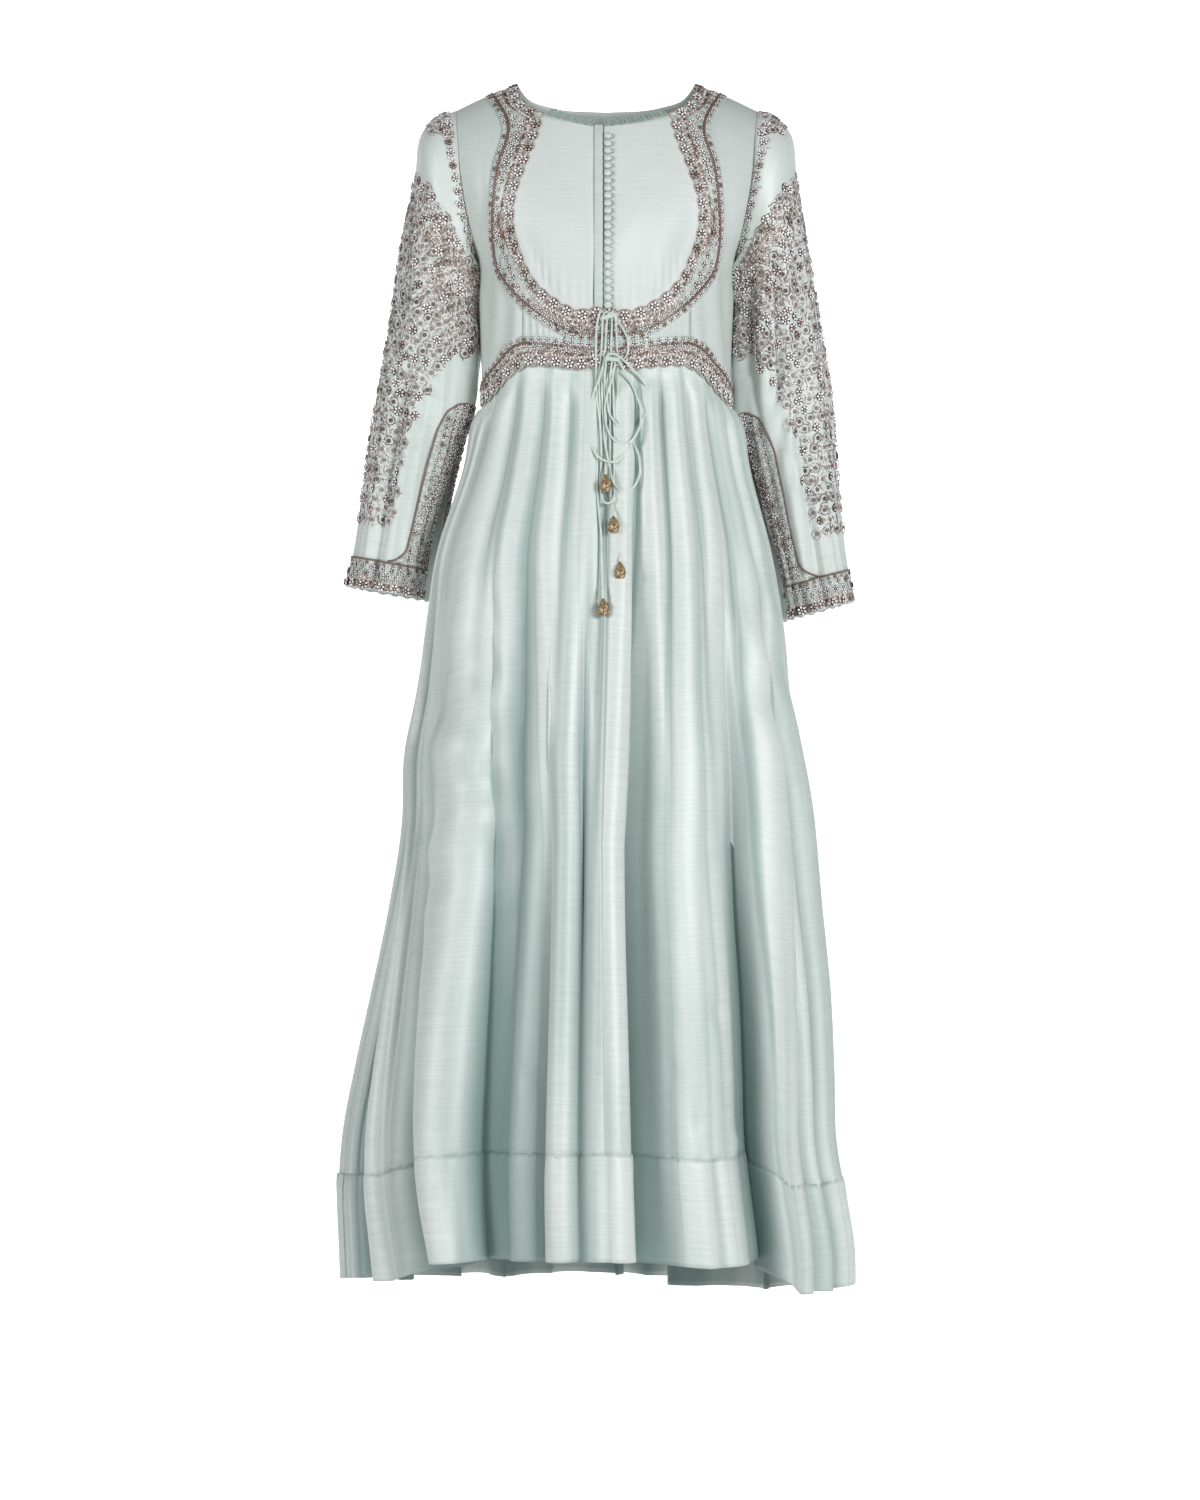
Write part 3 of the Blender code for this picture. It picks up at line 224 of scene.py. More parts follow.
# The tie cords, two from each bow: places on the front view and how far in front of the cloth,
# in tenths of a millimetre. Each leaves the opening, falls in its loop, turns over its knot and
# hangs to its bead.
TIES = {
    "tie_cord_right_top": table(
        "x z lift",
        (-63, -2556, 6), (-64, -2565, 48), (-73, -2605, 80), (-95, -2684, 82), (-112, -2828, 50),
        (-115, -3024, 26), (-111, -3400, 23), (-102, -3580, 32), (-78, -3739, 51),
        (-60, -3965, 53), (-53, -4191, 48), (-66, -4437, 24), (-57, -4617, 30), (-33, -4697, 54),
        (17, -4732, 76), (69, -4692, 80), (91, -4613, 50), (83, -4459, 24), (85, -4257, 23),
        (90, -4053, 23), (86, -3782, 23), (77, -3445, 23), (61, -3168, 23), (54, -2947, 26),
        (60, -2785, 54), (59, -2650, 88), (44, -2607, 93), (9, -2590, 94), (-25, -2607, 93),
        (-39, -2650, 88), (-45, -2795, 54), (-52, -2958, 26), (-81, -3378, 23), (-73, -3624, 23),
        (-71, -3827, 23), (-102, -4347, 23), (-100, -4572, 23), (-55, -5133, 23), (-44, -5604, 54),
        (-35, -5795, 104)),
    "tie_cord_left_top": table(
        "x z lift",
        (71, -2567, 6), (72, -2575, 48), (87, -2616, 78), (137, -2698, 72), (199, -2794, 48),
        (246, -2924, 28), (242, -3029, 30), (183, -3117, 50), (93, -3184, 54), (32, -3242, 53),
        (11, -3336, 49), (10, -3502, 44), (23, -3671, 51), (83, -3795, 53), (188, -3902, 48),
        (300, -4046, 23), (364, -4187, 23), (378, -4356, 23), (337, -4492, 23), (249, -4572, 32),
        (143, -4568, 60), (72, -4478, 60), (16, -4213, 52), (-28, -3942, 44), (-35, -3782, 24),
        (-48, -3378, 23), (-10, -2958, 26), (3, -2744, 90), (15, -2637, 120), (56, -2596, 126),
        (97, -2637, 120), (109, -2722, 92), (117, -2892, 30), (126, -3156, 23), (126, -3601, 23),
        (123, -4121, 23), (125, -4684, 23), (150, -4909, 23), (154, -5224, 48), (151, -5383, 104)),
    "tie_cord_right_low": table(
        "x z lift",
        (23, -3022, 6), (23, -3028, 50), (12, -3062, 80), (-24, -3150, 78), (-73, -3304, 68),
        (-133, -3458, 54), (-187, -3647, 30), (-209, -3850, 28), (-180, -4048, 38),
        (-91, -4198, 78), (-17, -4249, 83), (54, -4265, 83), (132, -4235, 78), (210, -4151, 52),
        (293, -4020, 54), (356, -3895, 53), (412, -3758, 44), (468, -3609, 28), (471, -3463, 28),
        (395, -3315, 30), (283, -3203, 50), (183, -3115, 90), (103, -3057, 112), (41, -3051, 116),
        (1, -3106, 114), (-8, -3207, 96), (-19, -3326, 60), (-19, -3456, 30), (-6, -3624, 23),
        (-3, -3839, 23), (-5, -4212, 24), (-5, -4304, 64), (-6, -4409, 124)),
    "tie_cord_left_low": table(
        "x z lift",
        (90, -3022, 6), (91, -3030, 50), (94, -3065, 74), (94, -3172, 84), (77, -3284, 100),
        (50, -3373, 100), (21, -3466, 86), (-4, -3560, 68), (-17, -3672, 54), (-8, -3807, 53),
        (30, -3931, 53), (94, -4017, 53), (184, -4053, 60), (255, -4039, 78), (306, -3994, 83),
        (355, -3914, 83), (385, -3806, 81), (385, -3680, 60), (345, -3521, 30), (285, -3383, 28),
        (226, -3279, 44), (179, -3200, 80), (150, -3136, 106), (105, -3106, 116), (61, -3146, 108),
        (52, -3228, 90), (43, -3327, 74), (41, -3425, 48), (41, -3534, 24), (41, -4008, 23),
        (41, -4459, 23), (52, -4617, 23), (67, -4730, 46), (80, -4868, 108)),
}


def cubic(t, span, low, low_slope, high, high_slope):
    """The Hermite cubic from low to high, with its slopes there; t goes 0 to 1 over the span."""
    return ((2 * t**3 - 3 * t**2 + 1) * low + (t**3 - 2 * t**2 + t) * span * low_slope
            + (3 * t**2 - 2 * t**3) * high + (t**3 - t**2) * span * high_slope)


def smooth_rows(heights, values, at, slopes=np.gradient):
    """The curve of such cubics through (heights, values), read at any array of heights."""
    order = np.argsort(heights)
    knots, rows = heights[order], values[order]
    slope = slopes(rows, knots, axis=0)
    at = np.clip(at, knots[0], knots[-1])
    k = np.clip(np.searchsorted(knots, at, side="right") - 1, 0, len(knots) - 2)
    span = knots[k + 1] - knots[k]
    t = (at - knots[k]) / span
    if rows.ndim > 1:
        span, t = span[..., None], t[..., None]
    return cubic(t, span, rows[k], slope[k], rows[k + 1], slope[k + 1])


def read(rows, column, at):
    """One column of a table, read smoothly between its rows at values of its first column."""
    return smooth_rows(next(iter(rows.values())), rows[column], np.asarray(at, float))


def steady(rows, knots, axis=0):
    """Slopes that never carry the curve past a row: zero at a turn, else the harmonic mean."""
    rise = np.diff(rows, axis=axis) / np.diff(knots)[:, None]
    before, after = rise[:-1], rise[1:]
    onward = before * after > 0
    mean = 2 * before * after / np.where(onward, before + after, 1)
    return np.concatenate([rise[:1], np.where(onward, mean, 0), rise[-1:]])


def route(knots):
    """Places every CORD_STEP on a smooth curve by way of the given places. Each is then moved to
    the mean of its neighbours, which opens the tightest bends."""
    run = distances(knots)
    dense = smooth_rows(run, knots, np.linspace(0, run[-1], 3000), steady)
    count = int(run[-1] / CORD_STEP)
    places = even(dense, dense, count)
    ends = 2 * places[0] - places[CORD_EASE:0:-1], 2 * places[-1] - places[-2:-CORD_EASE - 2:-1]
    sums = np.cumsum(np.concatenate([np.zeros((1, 3)), ends[0], places, ends[1]]), axis=0)
    window = 2 * CORD_EASE + 1
    return (sums[window:] - sums[:-window]) / window


def distances(places):
    """How far along a line of places each of them is, in metres."""
    return np.r_[0, np.cumsum(np.linalg.norm(np.diff(places, axis=0), axis=1))]


def between(at, run, rows):
    """The rows of a line, read in straight steps at distances along its run."""
    return np.stack([np.interp(at, run, column) for column in rows.T], axis=-1)


def even(places, keep, count):
    """Rows of keep at equal steps of the distance along places."""
    run = distances(places)
    return between(np.linspace(0, run[-1], count + 1), run, keep)


def cloth_ahead(x, z):
    """How far forward the cloth reaches at a place on the front view, folds aside."""
    half = np.where(z > -0.345, read(TORSO, "half", z), read(SKIRT, "left", z))
    deep = np.where(z > -0.345, read(TORSO, "front", z), read(SKIRT, "front", z))
    return -deep * np.sqrt(1 - (x / half) ** 2)


def paced(run, count):
    """count places along a run, closer together where it bends."""
    step = np.diff(run, axis=0)
    length = np.linalg.norm(step, axis=1)
    turn = np.arccos(np.clip(np.sum(unit(step)[1:] * unit(step)[:-1], axis=1), -1, 1))
    way = np.r_[0, np.cumsum(length + BEND_PACE * np.r_[0, turn])]
    steps = np.linspace(0, way[-1], count)
    return between(steps, way, run)


def unit(vectors):
    """The same directions, one long."""
    return vectors / np.linalg.norm(vectors, axis=-1, keepdims=True)


def rings(path, radius, sides, level):
    """Circles of the given radius carried along a path and squared to it; each end closes to a
    point. The last row of numbers is metres along and round, for the cloth's map."""
    path, radius = np.asarray(path, float), np.broadcast_to(radius, len(path))
    path = np.concatenate([path[:1], path, path[-1:]])
    radius = np.concatenate([[0], radius, [0]])
    along = unit(np.gradient(path[1:-1], axis=0))
    along = np.concatenate([along[:1], along, along[-1:]])
    beside = unit(np.cross(along, level))
    over = np.cross(beside, along)
    turn = np.linspace(0, FULL_TURN, sides + 1)[None, :, None]
    places = path[:, None] + radius[:, None, None] * (
        np.cos(turn) * beside[:, None] + np.sin(turn) * over[:, None])
    far = distances(path)
    return places, stacked(turn[..., 0] * np.max(radius), far[:, None])


def tubes(name, lines, radius, sides, level=(0, 1, 0)):
    """One mesh of round closed tubes, one along each line of places."""
    grids = []
    for line in lines:
        places, cloth = rings(line, radius, sides, level)
        ring = places[len(places) // 2]
        grids.append((places, ring[len(ring) // 2] - ring[:-1].mean(axis=0), cloth))
    return surface(name, *grids, closed=True)


class Strand:
    """A socket of a material. Each operator adds its Math node, and node() adds any other."""

    def __init__(self, tree, socket=None):
        self.tree, self.socket = tree, socket

    def node(self, kind, settings, sockets, output=0):
        """Adds a node with its settings, and a value or a strand for each socket."""
        made = self.tree.nodes.new("ShaderNode" + kind)
        for name, value in settings.items():
            setattr(made, name, value)
        for name, value in sockets.items():
            if isinstance(value, Strand):
                self.tree.links.new(value.socket, made.inputs[name])
            else:
                made.inputs[name].default_value = value
        return Strand(self.tree, made.outputs[output])

    def cloth(self):
        """Metres across and down the cloth, from its map."""
        return self.node("UVMap", {"uv_map": "cloth"}, {})

    def tone(self):
        """The tone given to each place of the mesh."""
        return self.node("Attribute", {"attribute_name": "tone"}, {}, 2)

    def cellular(self, scale):
        """Small cells: how far each spot is from its cell's middle, and a number of the cell's."""
        nodes = [self.node("TexVoronoi", {}, {"Vector": self, "Scale": scale}, output)
                 for output in (0, 1)]
        return nodes[0], nodes[1].part(0)

    def ramp(self, *stops):
        """A colour read from stops of (value, colour)."""
        read_off = self.node("ValToRGB", {}, {"Fac": self})
        elements = read_off.socket.node.color_ramp.elements
        elements[0].position, elements[1].position = stops[0][0], stops[-1][0]
        for at, _ in stops[1:-1]:
            elements.new(at)
        for element, (_, colour) in zip(elements, stops):
            element.color = (*colour, 1)
        return read_off

    def maths(self, operation, *values):
        """Adds a Math node on the values."""
        return self.node("Math", {"operation": operation}, dict(enumerate(values)))

    def __add__(self, other):
        return self.maths("ADD", self, other)

    def __radd__(self, other):
        return self.maths("ADD", other, self)

    def __sub__(self, other):
        return self.maths("SUBTRACT", self, other)

    def __rsub__(self, other):
        return self.maths("SUBTRACT", other, self)

    def __mul__(self, other):
        return self.maths("MULTIPLY", self, other)

    def __rmul__(self, other):
        return self.maths("MULTIPLY", other, self)

    def __truediv__(self, other):
        return self.maths("DIVIDE", self, other)

    def over(self, low, high):
        """0 below low, 1 above high, and a smooth rise between."""
        return self.node("MapRange", {"interpolation_type": "SMOOTHSTEP"},
                         {"Value": self, "From Min": low, "From Max": high})

    def noise(self, scale, detail, rough=0.5):
        """Noise whose scale may differ across and down."""
        spread = self.node("Mapping", {}, {"Vector": self, "Scale": scale})
        return self.node("TexNoise", {}, {"Vector": spread, "Scale": 1.0, "Detail": detail,
                                          "Roughness": rough})

    def part(self, axis):
        """One of its three numbers."""
        return self.node("SeparateXYZ", {}, {"Vector": self}, axis)

    def mix(self, one, two):
        """A colour that goes from one to two with this value."""
        colours = {6: one if isinstance(one, Strand) else (*one, 1),
                   7: two if isinstance(two, Strand) else (*two, 1)}
        return self.node("Mix", {"data_type": "RGBA"}, {0: self, **colours}, 2)

    def bump(self, depth):
        """The surface's direction, roughened by this height, at depth metres to 1."""
        return self.node("Bump", {}, {"Height": self, "Distance": depth, "Strength": 1.0})


def finish(name, **constants):
    """A new material with constant values on its shader, its colour tree and that shader."""
    material = bpy.data.materials.new(name)
    material.use_nodes = True
    shader = material.node_tree.nodes["Principled BSDF"]
    for socket, value in constants.items():
        shader.inputs[socket.replace("_", " ")].default_value = value
    return material, Strand(material.node_tree), shader


def feed(shader, **strands):
    """Joins values that change over the surface to the shader's sockets."""
    for socket, strand in strands.items():
        shader.id_data.links.new(strand.socket, shader.inputs[socket.replace("_", " ")])


def dye(red, green, blue):
    """A colour named by its 0 to 255 screen values, as the shader's own linear values."""
    return tuple(((v / 255 + 0.055) / 1.055) ** 2.4 if v > 10 else v / 3295
                 for v in (red, green, blue))


def fit(thing, material, slot, *nodes):
    """Gives a piece its material, and fixes it to the gown in place of the CAD solids it is for."""
    thing.data.materials.append(material)
    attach(thing, "root")
    if nodes:
        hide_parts(*nodes)
    return thing


rouleau, strand, shader = finish("rouleau_silk", Roughness=0.42, Sheen_Weight=0.2)
cloth = strand.cloth()
grain = strand.node("Mapping", {}, {"Vector": cloth, "Rotation": (0, 0, 0.7)})
weave = grain.noise((900, 5200, 1), 3.0, 0.6)
mottle = cloth.noise((60, 60, 1), 2.0)
feed(shader, Base_Color=(0.55 * weave + 0.45 * mottle).over(0.3, 0.72).mix(
    dye(186, 204, 197), dye(240, 246, 242)), Normal=weave.bump(0.00035))

cord_lines = {}
for name, rows in TIES.items():
    x, z, lift = (column / TENTHS for column in rows.values())
    knots = np.stack([x, cloth_ahead(x, z) - lift, z], axis=1)
    cord_lines[name] = paced(route(knots), CORD_RINGS)
    silk_cord = tubes(name.replace("tie", "silk_tie"), [cord_lines[name]], CORD_DIAMETER / 2, 12)
    fit(silk_cord, rouleau, "silk", name)

# Two small knots, each two turns of the cords drawn tight across the strands of a bow.
for name, (x, z, lift, half_x, half_y, tilt) in {
        "bow_knot_top": (0.003, -0.265, 0.0088, 0.0086, 0.004, 0.2),
        "bow_knot_low": (0.0066, -0.3118, 0.009, 0.0078, 0.004, -0.15)}.items():
    turn = np.linspace(0, 4 * math.pi, 97)
    centre = np.array([x, cloth_ahead(np.array(x), np.array(z)) - lift, z])
    wrap = centre + np.stack([half_x * np.cos(turn), half_y * np.sin(turn),
                              (turn / FULL_TURN - 1) * CORD_DIAMETER * 0.92
                              + tilt * half_x * np.cos(turn)], axis=1)
    fit(tubes(name, [wrap], CORD_DIAMETER / 2, 10, level=(0, 0, 1)), rouleau, "silk")

# White thread wound tight round three of the cords just above their beads.
bound, strand, shader = finish("bound_thread", Roughness=0.55)
cloth = strand.cloth()
feed(shader, Base_Color=cloth.noise((300, 2400, 1), 2.0).over(0.3, 0.7).mix(
    dye(190, 196, 184), dye(240, 242, 234)))
thread_wraps = {}
for name in ("tie_cord_left_top", "tie_cord_right_low", "tie_cord_right_top"):
    line = cord_lines[name]
    left = np.linalg.norm(line[-1] - line, axis=1)
    last = line[np.nonzero(left > 0.0125)[0][-1]:]
    fine = even(last, last, 96)
    step = np.linspace(0, 1, 97)
    swell = 0.0018 * np.clip(np.minimum(step, 1 - step) * 9, 0.72, 1) ** 0.5
    ridges = 0.00011 * np.cos(step * FULL_TURN * 12)
    wound = tubes(name.replace("tie_cord", "thread_wrap"), [fine], swell + ridges, 16)
    thread_wraps[name] = fit(wound, bound, "silk")

# Teardrop beads of coiled gilt wire, with rows of small grains raised all over them.
BEAD_WIDTH, BEAD_LENGTH = 0.013, 0.019
gilt, strand, shader = finish("gilt_wire", Metallic=0.55)
cloth = strand.cloth()
grains, speck = cloth.cellular(900.0)
worn = cloth.noise((160, 160, 1), 3.0)
gold = (speck * 0.55 + worn * 0.6).ramp((0.2, dye(78, 56, 36)), (0.5, dye(146, 118, 82)),
                                        (0.72, dye(186, 160, 122)), (0.86, dye(244, 234, 212)))
feed(shader, Base_Color=gold, Roughness=0.25 + 0.3 * worn, Normal=(1 - grains).bump(0.0005))
profile = np.array([(0.0, 0.0), (0.16, -0.02), (0.36, -0.09), (0.62, -0.21), (0.86, -0.37),
                    (0.98, -0.55), (1.0, -0.7), (0.82, -0.89), (0.44, -0.98), (0.0, -1.0)])
stations = np.linspace(0, 1, 49)
knots = distances(profile)
curve = smooth_rows(knots / knots[-1], profile, stations)
turn = np.linspace(0, FULL_TURN, 49)
beaded = 1 + 0.028 * np.cos(16 * turn + 3 * stations[:, None]) * np.sin(
    stations[:, None] * math.pi * 22) * np.sin(stations[:, None] * math.pi)
radius = np.clip(curve[:, :1], 0, None) * BEAD_WIDTH / 2 * beaded
beads = {}
for name, line in cord_lines.items():
    top = line[-1] - [0, 0, 0.0003]
    places = top + stacked(radius * np.cos(turn), radius * np.sin(turn), curve[:, 1:] * BEAD_LENGTH)
    spread = stacked(turn * 0.006, stations[:, None] * 0.022)
    drop = surface(name.replace("tie_cord", "drop_bead"),
                   (places, places[24, 24] - places[24].mean(axis=0), spread), closed=True)
    beads[name] = fit(drop, gilt, "gilt_bead", name.replace("tie_cord", "bead"))

for name, length in {"tie_cord_right_top": 0.788, "tie_cord_left_top": 0.749,
                     "tie_cord_right_low": 0.456, "tie_cord_left_low": 0.42}.items():
    line = cord_lines[name]
    [piece[name] for piece in (beads, thread_wraps) if name in piece]


# ---- the silk panels of the front ----
# Pale slub silk, cut as two yokes, a folded placket, two side fronts and two small midriffs. They
# run a little way under the sewn borders, and the yokes are gathered into the border below them.

# The shoulder line at each distance from the centre, and how far below it the cloth turns upright.
SHOULDER = table(
    "x height roll",
    (0.0, 0.04, 0.26), (0.05, 0.031, 0.225), (0.104, 0.009, 0.175), (0.138, -0.003, 0.145),
    (0.171, -0.0185, 0.12), (0.205, -0.0345, 0.11),
)
# Seams of the left front, as places on the front view of the torso.
YOKE_SEAM = [(0.0698, -0.0293), (0.0748, -0.0521), (0.0913, -0.0983), (0.1015, -0.1322),
             (0.1015, -0.1627), (0.0937, -0.1902), (0.0788, -0.2213), (0.0547, -0.2431),
             (0.0282, -0.2548)]
NECK_EDGE = [(0.1, 0.0104), (0.0941, -0.0119), (0.083, -0.0226), (0.0698, -0.0293)]
BORDER_SEAM = [(0.138, -0.003), (0.1176, -0.0462), (0.1281, -0.0914), (0.1325, -0.1398),
               (0.1304, -0.1826), (0.1214, -0.2177), (0.1042, -0.242), (0.0943, -0.2524)]
GUSSET_SEAM = [(0.0943, -0.2524), (0.0804, -0.2638), (0.0646, -0.2751), (0.0469, -0.2848)]
BLOCK_SEAM = [(0.044, -0.2863), (0.0243, -0.29)]
WAIST_TOP = [(0.0469, -0.2877), (0.0686, -0.2841), (0.0944, -0.2824)]
WAIST_SIDE = [(0.0944, -0.2824), (0.1064, -0.2865), (0.1237, -0.3035), (0.134, -0.315),
              (0.1423, -0.33)]
WAIST_SEAM = [(0.0322, -0.3219), (0.0637, -0.3178), (0.0935, -0.3181), (0.1105, -0.3283),
              (0.1258, -0.3446), (0.1363, -0.354), (0.1411, -0.357)]
BLOCK_END_Z = -0.2911       # where the yoke border ends and the waist border starts, at the opening
WAIST_END_Z = -0.3187
YOKE_END_Z = -0.2521
ARMHOLE = [(0.171, -0.0185), (0.168, -0.055), (0.164, -0.105), (0.156, -0.15),
           (0.15, -0.176), (0.148, -0.188)]
BACK_NECK = [(0.1, 0.0104), (0.09, 0.0), (0.06, -0.009), (0.0, -0.013)]
BACK_WAIST = [(0.1411, -0.357), (0.11, -0.352), (0.06, -0.347), (0.0, -0.345)]
NECK_FRONT_Z = -0.045      # the neck edge at the centre front, and half way to the band
NECK_MIDDLE = (0.0393, -0.0385)


def torso_section(x, z, side):
    """The torso's depth at a height, in front for side -1 or behind for 1, and how far a place is
    below the shoulder line, where 1 is where the cloth has turned upright."""
    across = np.abs(x)
    drop = (read(SHOULDER, "height", across) - z) / read(SHOULDER, "roll", across)
    return read(TORSO, "front" if side < 0 else "back", z), drop


def torso_level(x, y, z, side):
    """Zero on the torso: an ellipse at each height, closed over along the shoulder line."""
    depth, drop = torso_section(x, z, side)
    rolled = np.where(drop < 1, drop * (2 - drop), 1)
    return ((x / read(TORSO, "half", z)) ** 2 - 1) * rolled + (y / depth) ** 2


def torso(seam, side=-1):
    """Places on the torso for rows of (angle from its middle, height)."""
    angle, z = seam[..., 0], seam[..., 1]
    x = read(TORSO, "half", z) * np.sin(angle)
    depth, drop = torso_section(x, z, side)
    drop = np.clip(drop, 0, 1)
    return np.stack([x, side * depth * np.cos(angle) * np.sqrt(drop * (2 - drop)), z], axis=-1)


def angled(x, z):
    """Rows of (angle, height) for places on the front view, or on the back's."""
    angle = np.arcsin(np.clip(x / read(TORSO, "half", z), -1, 1))
    return np.stack([angle, z], axis=-1)


def torso_outward(places, side):
    """Unit directions out of the torso, from the slope of its level."""
    step = 1e-5
    slopes = []
    for axis in range(3):
        ahead, behind = places.copy(), places.copy()
        ahead[..., axis] += step
        behind[..., axis] -= step
        slopes.append(torso_level(*np.moveaxis(ahead, -1, 0), side)
                      - torso_level(*np.moveaxis(behind, -1, 0), side))
    return unit(np.stack(slopes, axis=-1))


def on_torso(points, count, side=-1):
    """A seam given as places on the front view, as count + 1 even (angle, height) rows."""
    knots = np.asarray(points, float)
    run = distances(knots)
    x, z = smooth_rows(run, knots, np.linspace(0, run[-1], 3000)).T
    z = np.minimum(z, read(SHOULDER, "height", np.abs(x)))
    seam = angled(x, z)
    return even(torso(seam, side), seam, count)


def shoulder_seam(inner, outer, count):
    """The shoulder line between two distances from the centre, as (angle, height) rows."""
    x = np.linspace(inner, outer, count + 1)
    return angled(x, read(SHOULDER, "height", x))


def fill(top, bottom, left, right):
    """A grid of (angle, height) spanned between four seams that share their corners."""
    u = np.linspace(0, 1, len(top))[None, :, None]
    v = np.linspace(0, 1, len(left))[:, None, None]
    corners = ((1 - u) * (1 - v) * top[0] + u * (1 - v) * top[-1]
               + (1 - u) * v * bottom[0] + u * v * bottom[-1])
    return ((1 - v) * top[None] + v * bottom[None]
            + (1 - u) * left[:, None] + u * right[:, None] - corners)


def slub_silk(name, deep, light, seams=None, rough=0.44):
    """Silk with thick uneven threads across it, fine upright ones, and a dye that took unevenly.
    Where seams gives a width, a narrow sewn seam runs down the cloth at each of those steps,
    painted sheen streaks run down it, and painted shade darkens the silk in the hollows of its
    folds, where its tone is 1."""
    material, strand, shader = finish(name, Sheen_Weight=0.15, Sheen_Roughness=0.35,
                                      Specular_IOR_Level=0.62)
    cloth = strand.cloth()
    slub = cloth.noise((26, 430, 1), 3.0, 0.62)
    fine = cloth.noise((240, 2400, 1), 2.0, 0.6)
    upright = cloth.noise((1300, 30, 1), 2.0)
    cloudy = cloth.noise((8, 5, 1), 3.0)
    tone = 0.36 * slub + 0.18 * fine + 0.14 * upright + 0.32 * cloudy
    height = 0.6 * slub + 0.3 * fine + 0.25 * upright
    colour = tone.over(0.25, 0.75).mix(deep, light)
    if seams:
        step = (cloth.part(0) / seams).maths("FRACT", cloth.part(0) / seams)
        line = (step - 0.5).maths("ABSOLUTE", step - 0.5)
        sewn = 1 - (line * seams).over(0.0003, 0.0011)
        hollow_shade = cloth.tone()
        # Painted sheen: long streaks down the cloth, darker and greener, stand in for the bands of
        # light and dark that the silk's sheen makes.
        painted_sheen_streak = cloth.noise((34, 1.0, 1), 1.4, 0.5).over(0.47, 0.64)
        colour = (painted_sheen_streak * 0.34).mix(colour, dye(128, 163, 154))
        # Painted shade: where the tone is high, in the hollows of the folds, the silk is darkened
        # towards a deep teal.
        colour = (hollow_shade * 0.8).mix(colour, dye(100, 134, 128))
        colour = (sewn * 0.18).mix(colour, tuple(0.45 * v for v in deep))
        height = height - 1.2 * sewn
    feed(shader, Base_Color=colour, Roughness=rough + 0.2 * slub, Normal=height.bump(0.00007))
    return material


def smooth_step(t):
    """0 up to 0, 1 from 1 on, and a smooth rise between."""
    t = np.clip(t, 0, 1)
    return t * t * (3 - 2 * t)


def rise(value, start, over):
    """That rise, from a start and over a range."""
    return smooth_step((value - start) / over)


def hump(value, middle, width):
    """1 in the middle, falling off smoothly to both sides: the bell of the distance by width."""
    return np.exp(-((value - middle) / width) ** 2)


def beyond(inside, outside, share):
    """A seam moved by a share of the way across to another seam."""
    return inside + share * (outside - inside)


def straight(x, top_z, bottom_z, count, side=-1):
    """An upright edge beside the front opening."""
    return on_torso([(x, top_z), (x, bottom_z)], count, side)


def torso_side(top_z, bottom_z, count):
    """The side seam of the torso, where front and back meet."""
    z = np.linspace(top_z, bottom_z, count + 1)
    return np.stack([np.full_like(z, math.pi / 2), z], axis=1)


def mirrored(places, hand):
    """The places for the left of the gown, hand 1, or their mirror for the right, hand -1."""
    return places * np.array([hand, 1, 1])


def facing(places, outward, cloth, hand=1):
    """A grid for surface: places, the way its middle faces, and its map, mirrored for hand -1."""
    middle = outward[outward.shape[0] // 2, outward.shape[1] // 2]
    return mirrored(places, hand), mirrored(middle, hand), cloth


def bodice(name, angles, hand, side, relief):
    """A panel of the bodice: its grid of (angle, height) on the torso, moved out by relief. It is
    thickened inwards."""
    places = torso(angles, side)
    outward = torso_outward(places, side)
    places = places + outward * np.broadcast_to(relief, places.shape[:2])[..., None]
    cloth = np.stack([angles[..., 0] * 0.15 + 0.4, angles[..., 1]], axis=-1)
    return walled(surface(name, facing(places, outward, cloth, hand)), BODICE_WALL)


def walled(thing, thickness):
    """Gives a sheet its thickness, all of it on the inner side."""
    wall = thing.modifiers.new("wall", "SOLIDIFY")
    wall.thickness, wall.offset, wall.use_even_offset = thickness, -1, False
    return thing


def from_line(places, line):
    """How far each place of a grid on the torso is from a seam, both as (angle, height)."""
    flat = np.array([0.15, 1.0])
    gaps = places[..., None, :] * flat - line * flat
    return np.min(np.linalg.norm(gaps, axis=-1), axis=-1)


